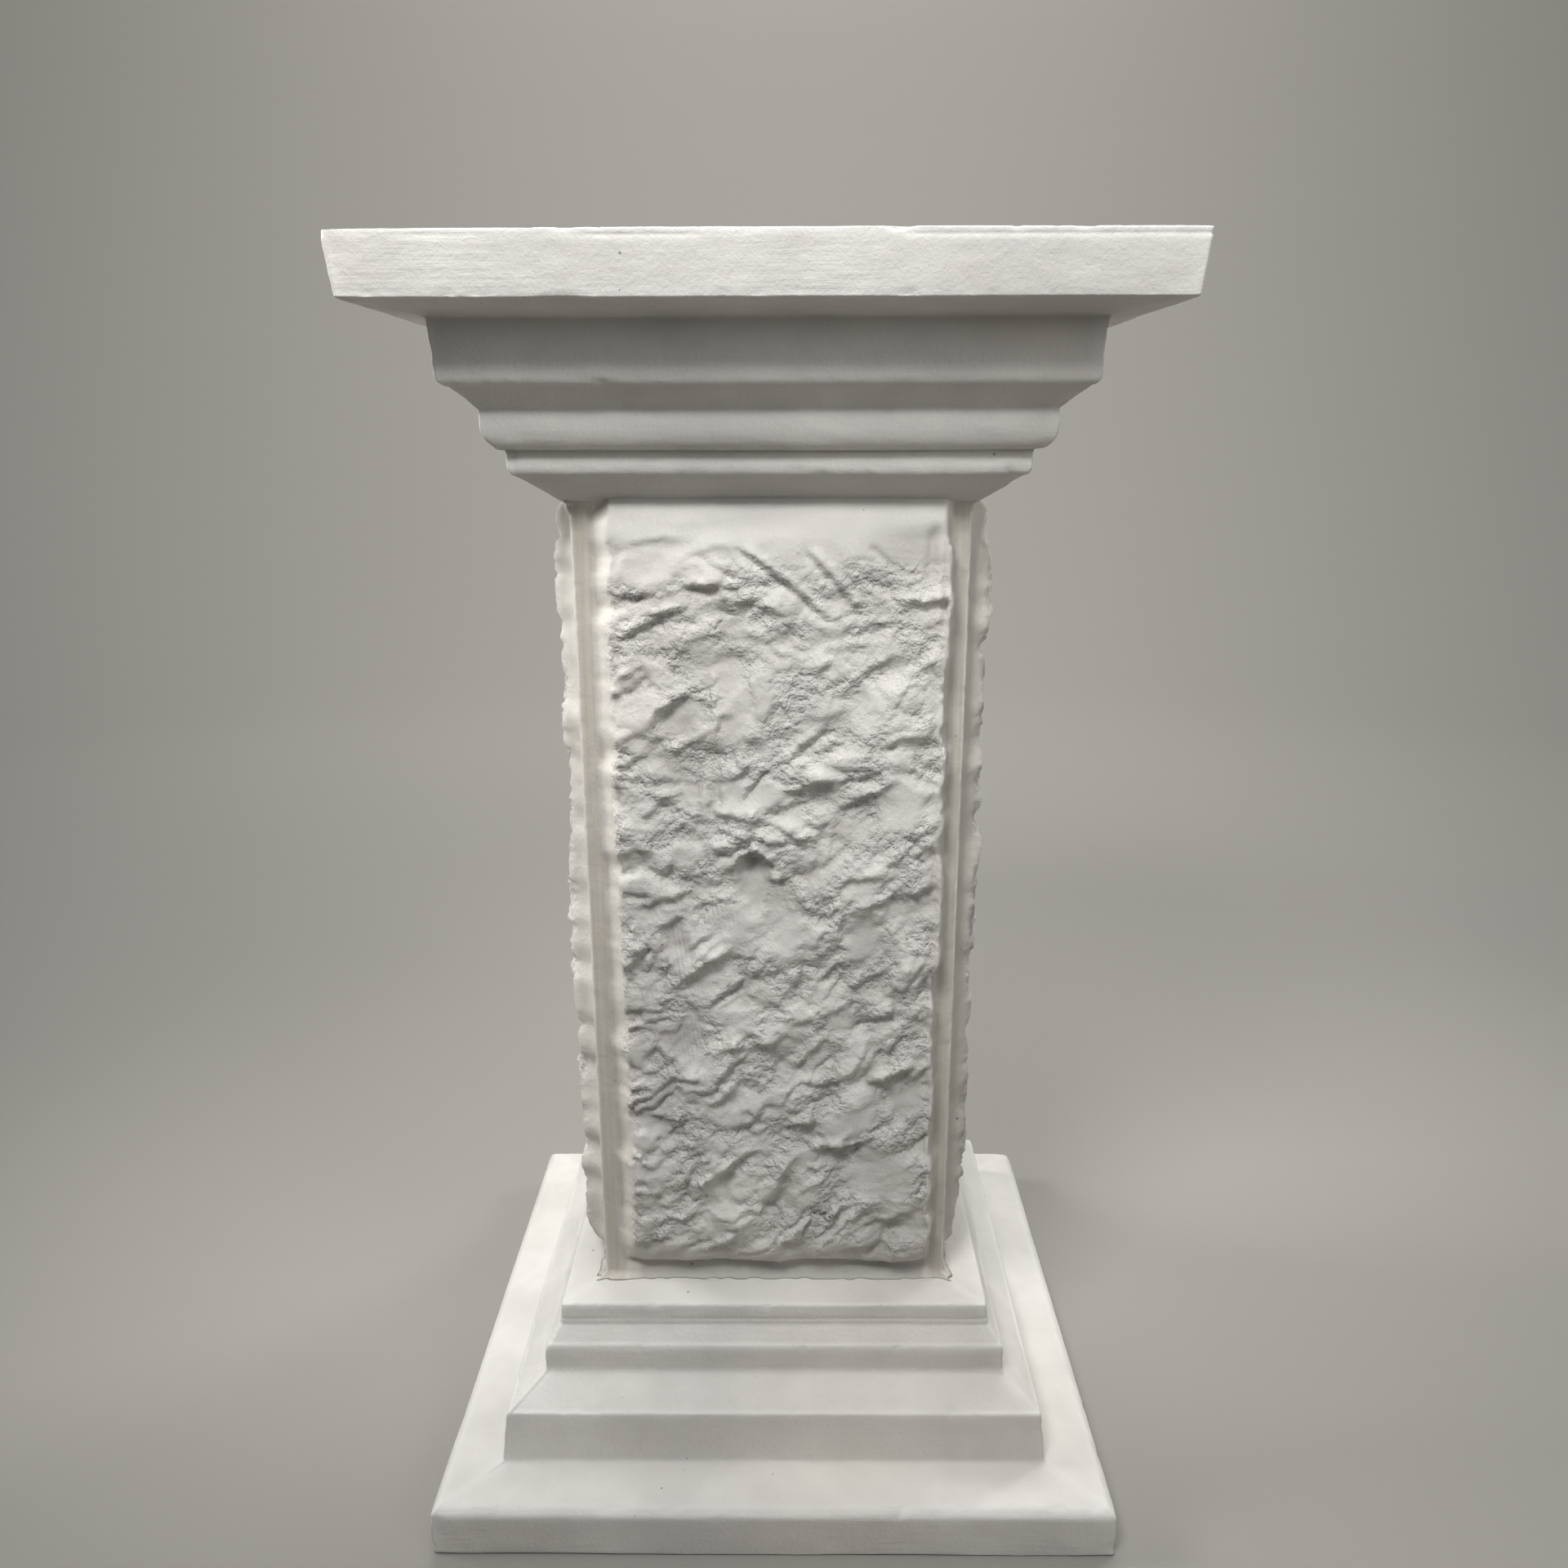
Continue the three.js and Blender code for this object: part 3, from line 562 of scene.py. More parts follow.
# Ridges, and grooves where the height is minus: height, width, then the line.
FRONT_LINES = [
    (-2.4, 2.8, (107, 584), (106, 556), (104, 532)), (1.4, 1.8, (112, 566), (112, 530), (111, 494)),
    (-1.6, 1.8, (117, 582), (117, 540), (116, 486)),
    (-2.6, 1.9, (-26, 552), (-10, 541), (0, 532), (12, 523), (22, 514), (32, 506), (44, 497)),
    (2.2, 2.6, (-20, 553), (-5, 543), (5, 534), (17, 525), (28, 516), (40, 506)),
    (-2.2, 1.9, (-50, 545), (-30, 534), (-20, 528), (-8, 517)),
    (-2.6, 2, (20, 550), (34, 535), (44, 523), (52, 512), (64, 501)),
    (2.2, 2.6, (26, 551), (39, 537), (50, 524), (60, 512)), (-1.6, 1.8, (50, 541), (64, 529), (82, 519)),
    (-2, 1.8, (64, 552), (80, 538), (90, 532), (99, 533)),
    (4.2, 4.4, (-40, 373), (-20, 367), (-4, 363), (10, 358), (22, 350), (29, 340)),
    (3.6, 4.2, (-44, 343), (-26, 347), (-8, 343)), (-1.6, 1.8, (-8, 491), (0, 482), (9, 471)),
    (1.6, 2.4, (-18, 492), (-15, 502), (-9, 512)), (1.8, 2, (-39, 482), (-38, 452), (-39, 412)),
    (-1.2, 1.6, (-69, 472), (-60, 463), (-56, 455)), (-1.2, 1.6, (64, 464), (74, 452), (83, 440)),
    (2, 3, (8, 406), (22, 419), (38, 432)), (-1.8, 2, (13, 404), (26, 416), (40, 427)),
    (2, 3, (18, 402), (32, 413), (46, 422)), (-1.8, 1.8, (-30, 409), (-20, 399)),
    (1.8, 3, (-44, 402), (-46, 382), (-45, 360)), (-1.6, 2, (-50, 400), (-51, 380), (-50, 352)),
    (-1.5, 2, (38, 362), (34, 342), (31, 326), (27, 308)), (0.9, 2.6, (32, 364), (28, 344), (25, 328)),
    (0.9, 2.6, (42, 358), (38, 338), (35, 320)), (-1.8, 2, (40, 306), (36, 292), (32, 280)),
    (1.6, 2.6, (45, 312), (42, 298), (38, 284)), (-1.6, 1.6, (-69, 231), (-60, 219), (-52, 206)),
    (-1.2, 1.4, (-52, 176), (-55, 168)), (-1.4, 1.5, (-41, 117), (-46, 96)), (2.2, 2.2, (15, 148), (15, 136)),
    (2.2, 2.2, (30, 143), (27, 131)), (-1.4, 1.6, (-2, 58), (6, 50)), (1.6, 1.8, (48, 62), (47, 52), (40, 42)),
    (1.8, 2, (-58, 74), (-44, 84), (-30, 94)), (1.6, 3, (34, 112), (50, 112), (62, 118)),
]
# Flats: across, up, half width, half height, turn, height.
FRONT_FLATS = [
    (0, 572, 140, 16, 0, 0), (72, 556, 60, 14, -8, 0.2), (-82, 537, 24, 13, 8, 1.6), (-45, 534, 14, 8, 12, 1.2),
    (-80, 512, 26, 6, 18, 1.2), (-23, 498, 8, 9, 8, -0.8), (-26, 450, 11, 34, 2, -1.6), (-6, 452, 7, 18, 6, 1.2),
    (-90, 440, 17, 12, 20, 1.4), (-62, 434, 18, 8, 32, -1.2), (-75, 465, 12, 7, -30, 0.8), (64, 440, 13, 18, 0, -0.4),
    (72, 452, 10, 11, -20, 0.4), (45, 468, 9, 8, 20, 0.8), (-28, 385, 8, 10, 5, 1), (-2, 382, 11, 9, 10, 1),
    (-14, 314, 11, 18, 0, -3), (8, 286, 12, 25, 4, -2.2), (-30, 288, 17, 12, 0, 0), (88, 372, 17, 18, 10, 1.2),
    (58, 354, 12, 10, 0, 0.4), (-60, 336, 10, 10, 15, 1), (-92, 313, 16, 9, -6, 2.6), (62, 309, 12, 8, 0, 0.2),
    (66, 274, 13, 18, 0, -1.8), (-67, 265, 9, 24, 10, -1.2), (-44, 240, 21, 9, 40, -0.4), (-60, 195, 8, 22, -4, -1.8),
    (-99, 184, 9, 14, 0, 1.6), (-34, 131, 12, 8, -8, 0.6), (58, 126, 19, 11, 12, 1.4), (97, 148, 13, 16, 0, -2),
    (-96, 110, 9, 9, 0, 2.2), (-101, 85, 10, 10, 0, 1.6), (84, 78, 22, 18, 0, 0), (-44, 104, 7, 10, -12, 0.4),
    (20, 95, 14, 10, 30, 0.4), (-24, 72, 12, 10, 40, 0.6), (50, 210, 12, 10, 40, 0.8), (-24, 205, 14, 10, 30, 0.6),
]
FRONT_BOULDERS = [
    (50, 401, 40, 9, 6, 2.6), (-3, 200, 10, 8, 20, 2), (60, 150, 12, 14, 30, 1.4), (-93, 113, 11, 9, 0, 1.2),
    (-103, 256, 9, 6, 0, 2.2), (-97, 462, 8, 5, 20, 1.6), (106, 342, 8, 8, 0, 1.6), (90, 196, 14, 12, 60, 1),
    (76, 100, 16, 8, 0, 1), (-92, 36, 12, 10, 0, 1.8), (64, 30, 20, 8, 8, 1.4), (-54, 150, 14, 8, 0, 1.4),
    (40, 246, 10, 7, 0, -1.8), (-70, 300, 10, 5, 0, 1.2),
]
# Combed patches, where a toothed tool was drawn upward: across, up, half width, half height, turn.
FRONT_COMBS = [
    (-29, 290, 19, 12, 0), (-67, 264, 9, 22, 12), (-61, 196, 9, 20, -4), (-90, 232, 9, 8, 20),
]


def scattered(side, count, group, low, high):
    """Marks spread by chance over a side that is not the front: one in each band up the panel,
    with its other values between low and high."""
    i = np.arange(count)
    chance = [cell_value(i, k, side * 10 + group) for k in range(1, len(low) + 3)]
    across = DRAWN_HALF_WIDTH * (1.8 * chance[0] - 0.9)
    up = DRAWN_HEIGHT * (0.03 + 0.89 * (i + chance[1]) / count)
    rest = [a + (b - a) * chance[k + 2] for k, (a, b) in enumerate(zip(low, high))]
    return [tuple(row) for row in np.stack([across, up, *rest], axis=1)]


def laid_out(marks):
    """Lines for scattered marks (across, up, turn, length, height, width): height and width, then three points,
    the middle one pushed aside by a tenth of the length."""
    lines = []
    for across, up, turn, length, height, width in marks:
        ahead = np.array((np.cos(np.radians(turn)), np.sin(np.radians(turn)))) * length / 2
        middle = np.array((across - 0.2 * ahead[1], up + 0.2 * ahead[0]))
        lines.append((height, width, (across, up) - ahead, middle, (across, up) + ahead))
    return lines


def line_place(x, y, points):
    """Nearest place on a bent line: distance from it, which side (left hand plus), and the share along it."""
    nearest = np.full(x.shape, 1e9)
    hand, share = np.zeros(x.shape), np.zeros(x.shape)
    points = np.array(points, float)
    lengths = np.hypot(*np.diff(points, axis=0).T)
    before = np.concatenate(([0], np.cumsum(lengths)))
    for k, length in enumerate(lengths):
        step = (points[k + 1] - points[k]) / length
        along = (x - points[k, 0]) * step[0] + (y - points[k, 1]) * step[1]
        over = (y - points[k, 1]) * step[0] - (x - points[k, 0]) * step[1]
        beyond = along - np.clip(along, 0, length)
        distance = np.hypot(over, beyond)
        closer = distance < nearest
        nearest = np.where(closer, distance, nearest)
        hand = np.where(closer, over, hand)
        share = np.where(closer, (before[k] + np.clip(along, 0, length)) / before[-1], share)
    return nearest, hand, share


def step_height(x, y, mark):
    """Height of a torn step, drop high over its line: a lip that dies away over 9 mm on the proud hand, and on
    the other hand a sharp fall over 1.7 times the softness that fills again over 14 mm. It tapers to its ends."""
    drop, soft = mark[:2]
    away, hand, share = line_place(x, y, mark[2:])
    signed = np.sign(hand) * away
    taper = ease(np.minimum(share, 1 - share) / 0.3)
    above = 0.42 * np.exp(-np.maximum(signed, 0) / 9)
    under = np.minimum(signed, 0)
    below = 0.42 - (1 - np.exp(under / (1.7 * soft))) + 0.58 * (1 - np.exp(under / 14))
    return drop * taper * np.where(signed > 0, above, below)


def line_height(x, y, mark):
    """Height of a ridge or groove: a bell curve over the distance from its line, tapered at both ends."""
    height, width = mark[:2]
    away, hand, share = line_place(x, y, mark[2:])
    taper = ease(np.minimum(share, 1 - share) / 0.12)
    return height * taper * np.exp(-(away / width) ** 2)


def oval_share(x, y, mark):
    """1 inside an oval (across, up, half width, half height, turn), eased to 0 just outside it."""
    turn = np.radians(mark[4])
    across, up = x - mark[0], y - mark[1]
    wide = (across * np.cos(turn) + up * np.sin(turn)) / mark[2]
    high = (up * np.cos(turn) - across * np.sin(turn)) / mark[3]
    return ease((1.3 - np.hypot(wide, high)) / 0.6)


def torn_steps(along, over, seed):
    """A saw tooth across the grain, bent by noise: a steep rise over a tenth of each step, then a long fall.
    It comes and goes with a slower noise."""
    phase = over + 0.9 * slope_noise(along, over * 0.8, seed) + 0.35 * slope_noise(along * 2.7, over * 2.3, seed + 1)
    since = phase - np.floor(phase)
    saw = np.minimum(since / 0.1, 1 - (since - 0.1) / 0.9)
    return (ease(saw) - 0.45) * ease(0.55 + 1.2 * slope_noise(along * 0.7, over * 0.6, seed + 2))


def clods(along, over, seed):
    """Tilted lumps, one a cell: each is a tilted plane less 0.8 times the square of the distance from the
    cell's own middle, and the highest of the nine nearest lumps counts, so lumps meet in sharp creases."""
    column, row = np.floor(along), np.floor(over)
    highest = np.full(along.shape, -9.0)
    for i in (-1, 0, 1):
        for j in (-1, 0, 1):
            cell_x, cell_y = column + i, row + j
            from_x = along - cell_x - 0.15 - 0.7 * cell_value(cell_x, cell_y, seed)
            from_y = over - cell_y - 0.15 - 0.7 * cell_value(cell_x, cell_y, seed + 1)
            turn = 2 * np.pi * cell_value(cell_x, cell_y, seed + 2)
            tilt = 0.45 * (np.cos(turn) * from_x + np.sin(turn) * from_y)
            top = 0.5 * cell_value(cell_x, cell_y, seed + 3)
            highest = np.maximum(highest, top + tilt - 0.8 * (from_x ** 2 + from_y ** 2))
    return highest - 0.25


def hewn_relief(x, y, side, steps, lines, flats, boulders):
    """Relief of one panel and how rough it is left: broad lumps along the grain, the torn steps on a place bent
    by noise, boulders and flats, then small clods and torn steps that lean along the grain or lie level, crumbs
    where it is rough, and last the ridges and grooves. It is calm at the head and on the flats."""
    bent_x, bent_y = (
        place + BROAD_BEND * slope_noise(x / 20, y / 20, side + seed)
        + SHORT_BEND * slope_noise(x / 7, y / 7, side + seed + 1) for place, seed in ((x, 31), (y, 41)))
    grain_x = (x * np.cos(GRAIN_TURN) + y * np.sin(GRAIN_TURN)) / (LUMP_SIZE * LUMP_STRETCH)
    grain_y = (y * np.cos(GRAIN_TURN) - x * np.sin(GRAIN_TURN)) / LUMP_SIZE
    height = LUMP_HEIGHT * smooth_noise(grain_x, grain_y, side + 1)
    uneven = 2.1 - 0.65 * y / DRAWN_HEIGHT + 1.05 * slope_noise(x / 13, y / 13, side + 11)
    for mark in steps:
        height += uneven * step_height(bent_x, bent_y, mark)
    for mark in boulders:
        height += mark[5] * oval_share(bent_x, bent_y, mark)
    left_rough = 1.0
    for mark in flats:
        inside = oval_share(bent_x, bent_y, mark)
        left_rough = left_rough * (1 - 0.7 * inside)
        height += mark[5] * inside
    along = bent_x * np.cos(GRAIN_TURN) + bent_y * np.sin(GRAIN_TURN)
    over = bent_y * np.cos(GRAIN_TURN) - bent_x * np.sin(GRAIN_TURN)
    steep = LEANING_CLODS * clods(along / 30, over / 18, side + 61)
    steep += TORN_CLODS * torn_steps(along / 30, over / 17, side + 64)
    level = LEVEL_CLODS * clods(bent_x / 26, bent_y / 17, side + 85)
    level += TORN_CLODS * torn_steps(bent_x / 26, bent_y / 15, side + 88)
    leaning = ease(0.72 + 0.9 * slope_noise(x / 60, y / 60, side + 93) - 0.7 * (y / DRAWN_HEIGHT - 0.35))
    small = (leaning * steep + (1 - leaning) * level) * (1.85 - 0.8 * y / DRAWN_HEIGHT)
    calm = 1 - 0.9 * ease((y - 0.9 * DRAWN_HEIGHT) / (0.06 * DRAWN_HEIGHT))
    rough = calm * left_rough * (0.32 + 0.68 * ease(0.5 + 1.5 * slope_noise(x / 26, y / 26, side + 51)))
    crumbs = SMALL_CLODS * clods(along / 12, over / 9, side + 71) + CRUMB_CLODS * clods(x / 6, y / 6, side + 75)
    crumbs += 0.25 * slope_noise(x / 4.4, y / 4.4, side + 74)
    crumbs += 0.9 * leaning * torn_steps(along / 12, over / 7, side + 81)
    crumbs = crumbs * (1.4 - 0.45 * y / DRAWN_HEIGHT)
    height += calm * left_rough * (small + 0.5 * slope_noise(x / 9, y / 9, side + 67)) + rough * crumbs
    firm_x, firm_y = x + 0.45 * (bent_x - x), y + 0.45 * (bent_y - y)
    for mark in lines:
        height += line_height(firm_x, firm_y, mark)
    return height, rough


def face_half(level):
    """Half the width between opposite plain faces, which widens evenly from foot to head."""
    return (SHAFT_FOOT_WIDTH + (SHAFT_HEAD_WIDTH - SHAFT_FOOT_WIDTH) * level / SHAFT_HEIGHT) / 2


def mean_proud(level, wave):
    """How proud a panel's mean face stands: a quarter round out at its foot, which wave shifts up and down,
    and turned in at the head."""
    foot_share = np.clip((level - PANEL_FOOT_MARGIN - wave) / PANEL_FOOT_TURN, 0, 1)
    head_share = np.clip((SHAFT_HEIGHT - level) / PANEL_HEAD_TURN, 0, 1)
    foot_part = (1 - (1 - foot_share) ** 2) ** 0.7
    head_part = np.sqrt(1 - (1 - head_share) ** 2)
    least = PANEL_HEAD_PROUD / PANEL_PROUD
    return PANEL_PROUD * foot_part * (least + (1 - least) * head_part)


def side_stations(rock_steps):
    """Shares across one side, from one arris to the next: the corner's arc in quarter turns, then
    where each point lies as (zone, share of the zone)."""
    arc = np.linspace(-1, 0, 3)[:-1]
    margin = np.linspace(0, 1, MARGIN_STEPS + 1)[:-1]
    flank = np.linspace(0, 1, FLANK_STEPS + 1)[:-1]
    rock = np.linspace(-1, 1, rock_steps + 1)
    zones = [(0, s) for s in arc] + [(1, s) for s in margin] + [(2, s) for s in flank] + [(3, s) for s in rock]
    zones += [(4, s) for s in 1 - flank[::-1] if s > 0] + [(5, s) for s in 1 - margin[::-1]]
    zones += [(6, s) for s in -arc[::-1] if s < 1]
    return np.array(zones)


def shaft_side(side, rock_steps, levels):
    """One side of the shaft: how far across the face and how far out each station lies at each level, and
    the marks that its colour follows. The panel climbs out of the margin by its flank's run, and its relief
    fades in over the flank, the rounded foot and the smooth head."""
    zone, share = side_stations(rock_steps).T
    level = levels[:, None]
    half = face_half(level)
    rock_half = half - CORNER_MARGIN - FLANK_RUN
    left_run = FRONT_LEFT_FLANK_RUN if side == 0 else FLANK_RUN
    right_run = FRONT_RIGHT_FLANK_RUN if side == 0 else FLANK_RUN
    left_edge = CORNER_MARGIN - half
    right_edge = half - (FRONT_RIGHT_MARGIN if side == 0 else CORNER_MARGIN)
    left_rock, right_rock = left_edge + left_run, right_edge - right_run
    flat_half = half - SHAFT_ARRIS_RADIUS
    across = np.where(zone == 1, -flat_half + (flat_half + left_edge) * share, 0 * half)
    across = np.where(zone == 2, left_edge + left_run * share, across)
    across = np.where(zone == 3, left_rock + (right_rock - left_rock) * (share + 1) / 2, across)
    across = np.where(zone == 4, right_rock + right_run * share, across)
    across = np.where(zone == 5, right_edge + (flat_half - right_edge) * share, across)
    arc = share * np.pi / 4
    on_arc = (zone == 0) | (zone == 6)
    across = np.where(on_arc, np.sign(share) * flat_half + SHAFT_ARRIS_RADIUS * np.sin(arc), across)
    rounded = np.where(on_arc, SHAFT_ARRIS_RADIUS * (1 - np.cos(arc)), 0)
    hand = np.sign(across)
    x = across / rock_half * DRAWN_HALF_WIDTH
    y = (level - PANEL_FOOT_MARGIN) / (SHAFT_HEIGHT - PANEL_FOOT_MARGIN) * DRAWN_HEIGHT
    if side == 0:
        marks = FRONT_STEPS, FRONT_LINES, FRONT_FLATS, FRONT_BOULDERS
        combs = FRONT_COMBS
    else:
        marks = (laid_out(scattered(side, 46, 0, (-12, 26, 1.8, 1.4), (58, 64, 5.6, 2.2))),
                 laid_out(scattered(side, 26, 3, (-50, 26, -2.0, 1.8), (80, 70, 2.4, 3.4))),
                 scattered(side, 20, 5, (8, 8, 0, -2.0), (18, 20, 40, 1.4)),
                 scattered(side, 16, 7, (9, 7, 0, 1.2), (22, 12, 40, 2.8)))
        combs = scattered(side, 5, 9, (10, 12, -10), (20, 24, 20))
    relief, rough = hewn_relief(x, y, side, *marks)
    combed = np.max([oval_share(x, y, mark) for mark in combs], axis=0)
    scallop = smooth_noise(level / EDGE_BITE_PITCH, hand, side + 5)
    ragged = EDGE_RAGGED * slope_noise(level / 16, hand + 0.5, side + 10)
    if side == 0:
        ragged += EDGE_FINE_RAGGED * slope_noise(level / 7, hand + 0.5, side + 9)
    from_edge = np.where(hand < 0, across - left_edge, right_edge - across)
    inside = from_edge + (EDGE_BITE * scallop * 0.8 + ragged) * ease((from_edge + 4) / 4)
    run = np.where(hand < 0, left_run, right_run)
    climb = np.clip(inside / run, 0, 1)
    cove = 0.45 * (1 - np.sqrt(1 - climb ** 2)) + 0.55 * climb
    edge_fall = (0.6 * EDGE_BITE - 1.5 * scallop) * np.exp(-((inside - run) / 7) ** 2)
    wave = FOOT_WAVE * smooth_noise(across / 24, 0 * across, side + 15) - FOOT_SAG
    wave += FOOT_RIPPLE * slope_noise(across / 8, 0 * across, side + 16)
    foot_fade = ease((level - PANEL_FOOT_MARGIN - wave + 4) / PANEL_FOOT_TURN)
    head_fade = ease((SHAFT_HEIGHT - level - SMOOTH_HEAD) / 14)
    fade = foot_fade * head_fade * ease((inside - run * 0.6) / 7)
    mean = mean_proud(level, wave) * cove
    proud = np.where(inside > 0, np.maximum(mean + (relief - edge_fall) * fade, 0.3 * mean), 0)
    to_head = np.clip((level - (SHAFT_HEIGHT - HEAD_COVE_HEIGHT)) / HEAD_COVE_HEIGHT, 0, 1)
    spread = HEAD_COVE_SPREAD * (1 - np.sqrt(1 - to_head ** 2))
    at_corner = ease((9 - from_edge) / 12)
    lump = ease(0.5 + 0.9 * smooth_noise(across / 6, level / 4, side + 91))
    fillet = FOOT_FILLET * (1 - np.sqrt(1 - np.clip(1 - level / (1.3 * FOOT_FILLET), 0, 1) ** 2))
    foot_bead = fillet * (0.8 + 0.3 * lump) + (0.5 + 1.6 * at_corner) * lump * ease(1 - level / (3 + 6 * lump))
    head_bead = HEAD_BEAD * at_corner * lump * ease(1 - (SHAFT_HEIGHT - level) / (4 + 7 * lump))
    beads = np.maximum(foot_bead * ease(1 - level / 9), head_bead)
    waver = FACE_WAVER * smooth_noise(across / 30, level / 70, side + 95) * (1 - on_arc)
    hollow_foot = FOOT_HOLLOW * ease((level - 4) / 8) * ease((PANEL_FOOT_MARGIN + 3 - level) / 6) * ease(inside / 6)
    waver = waver - hollow_foot
    chip = ARRIS_CHIP * np.clip(smooth_noise(level / 6, hand, side + 97) - 0.45, 0, 1) * (np.abs(across) > half - 4)
    out = half - rounded + np.maximum(proud, np.maximum(spread, beads)) + waver - chip
    grown = 1 + np.maximum(spread, beads) / half
    across = np.where(on_arc | (from_edge < 0), across * grown, across)
    flank = ease(inside / 4) * ease((run + 3 - inside) / 6)
    margin = ease((1.5 - inside) / 3) * (1 - on_arc)
    # Painted shadow under the panel's rounded foot (under), and painted shade and dirt where the relief sinks.
    under = 1.6 * ease((PANEL_FOOT_MARGIN - 2 - level) / 9) * ease(inside / 6)
    marks = {"rough": rough * fade, "hollow": np.clip(-relief * fade / 4, 0, 1) + under, "filler": flank,
             "margin": margin, "combed": combed * fade}
    return across, out, marks


levels = np.concatenate((np.array([0, 0.5, 1.4, 2.8, 4.6, 6.8]), np.linspace(9.2, SHAFT_HEIGHT - 3, SHAFT_ROWS - 9),
                         SHAFT_HEIGHT + np.array([-1.5, 0, HEAD_BEDDING])))
sides = []
for side in range(4):
    across, out, marks = shaft_side(side, ROCK_STEPS[side], np.minimum(levels, SHAFT_HEIGHT))
    ahead_x, ahead_y = ((1, 0), (0, 1), (-1, 0), (0, -1))[side]
    x = across * ahead_x + out * ahead_y
    y = across * ahead_y - out * ahead_x
    z = SHAFT_FOOT + levels[:, None] + 0 * across
    sides.append((np.stack((x, y, z), -1), across + side * SHAFT_HEAD_WIDTH, marks))
points = np.concatenate([side_points for side_points, _, _ in sides], axis=1)
round_mm = np.concatenate([side_round for _, side_round, _ in sides], axis=1)
marks = {label: np.concatenate([marks[label] for _, _, marks in sides], axis=1) for label in sides[0][2]}
run_mm = levels[:, None] + 0 * round_mm
shaft = closed_tower("shaft_casting", points, (round_mm, run_mm), marks)
finish_piece(shaft, "shaft", plaster("plaster_shaft", (260, 260, 5), CRUMB_DEPTH))

# Capital: one casting set on the shaft in plaster. It is the base turned over: a splay, a band, an
# ovolo, another splay and a tall fascia carry a wide plain slab. Its flat top is greyed by what has stood on it.
NECK_SPLAY_HEIGHT = 19
NECK_BAND_WIDTH = 338
NECK_BAND_HEIGHT = 14.5
OVOLO_HEIGHT = 17
OVOLO_BAND_WIDTH = 365
OVOLO_BAND_HEIGHT = 8.5
CAPITAL_SPLAY_HEIGHT = 13.5
FASCIA_WIDTH = 411
FASCIA_HEIGHT = 38.5
FASCIA_DRAFT = 2.5
SOFFIT_HEIGHT = 7
SLAB_DRAFT = 4
SLAB_ARRIS = 1.3
FASCIA_ARRIS = 5
NECK_ARRIS = 4
SLAB_WIDTH = 1000 * (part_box("capital")[1].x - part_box("capital")[0].x)
SLAB_HEAD = 1000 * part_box("capital")[1].z
HANDLED_GREY = 0.6

neck_foot = SHAFT_HEAD_WIDTH / 2 + HEAD_COVE_SPREAD
neck_band = NECK_BAND_WIDTH / 2
ovolo_band = OVOLO_BAND_WIDTH / 2
fascia = FASCIA_WIDTH / 2
slab = SLAB_WIDTH / 2
capital_foot = SHAFT_FOOT + SHAFT_HEIGHT
neck_band_foot = capital_foot + NECK_SPLAY_HEIGHT
ovolo_foot = neck_band_foot + NECK_BAND_HEIGHT
ovolo_head = ovolo_foot + OVOLO_HEIGHT
ovolo_band_head = ovolo_head + OVOLO_BAND_HEIGHT
fascia_foot = ovolo_band_head + CAPITAL_SPLAY_HEIGHT
fascia_head = fascia_foot + FASCIA_HEIGHT
slab_foot = fascia_head + SOFFIT_HEIGHT
capital_outline = [
    (neck_foot - 30, capital_foot), (neck_foot, capital_foot + 0.2),
    *arc_points((neck_band - NECK_ARRIS, neck_band_foot - 1.6), (neck_band, neck_band_foot + NECK_ARRIS), False),
    (neck_band + 0.2, ovolo_foot - 0.6), (neck_band + 0.8, ovolo_foot + 0.2),
    *arc_points((neck_band + 3, ovolo_foot + 0.4), (ovolo_band, ovolo_head), False, 8),
    (ovolo_band - 0.2, ovolo_band_head - 0.6), (ovolo_band + 0.5, ovolo_band_head + 0.1),
    *arc_points((fascia - FASCIA_DRAFT - FASCIA_ARRIS, fascia_foot - 0.6),
                (fascia - FASCIA_DRAFT, fascia_foot + FASCIA_ARRIS), False),
    (fascia - 0.1, fascia_head - 0.8), (fascia + 0.6, fascia_head),
    *arc_points((slab - SLAB_DRAFT - SLAB_ARRIS, slab_foot), (slab - SLAB_DRAFT, slab_foot + SLAB_ARRIS), False),
    (slab - 0.7, SLAB_HEAD - 5), (slab - 0.7, SLAB_HEAD - 4.2), (slab - 0.6, SLAB_HEAD - 3.4),
    *arc_points((slab - 0.4, SLAB_HEAD - SLAB_ARRIS), (slab - SLAB_ARRIS, SLAB_HEAD - 0.2), True),
    (slab - 60, SLAB_HEAD - 0.2),
]
capital_arrises = [(neck_band, neck_band_foot), (fascia - FASCIA_DRAFT, fascia_foot),
                   (slab - SLAB_DRAFT, slab_foot), (slab, SLAB_HEAD)]
points, round_mm, run_mm, worn = moulding(capital_outline, OUTLINE_STEP, capital_arrises, SLAB_HEAD - 4.2, 23)
handled = HANDLED_GREY * ease((points[..., 2] - SLAB_HEAD + 0.9) / 0.6)
capital = closed_tower("capital_casting", points, (round_mm, run_mm), {"worn": worn, "hollow": handled})
finish_piece(capital, "capital", plaster("plaster_capital", (16, 16, 260), 0.0))

# Studio: a plain pale floor that sweeps up all round into a pale wall. A soft light stands near at the front
# left above the column, a broad one hangs overhead, and weaker ones stand at the right, at the left side and
# at the right behind. Two broad ones face the wall, behind the column and behind the camera.
FLOOR_FLAT = 3.2
WALL_RADIUS = 2.6
WALL_HEAD = 6.0
FLOOR_PALE = (0.41, 0.398, 0.375, 1)
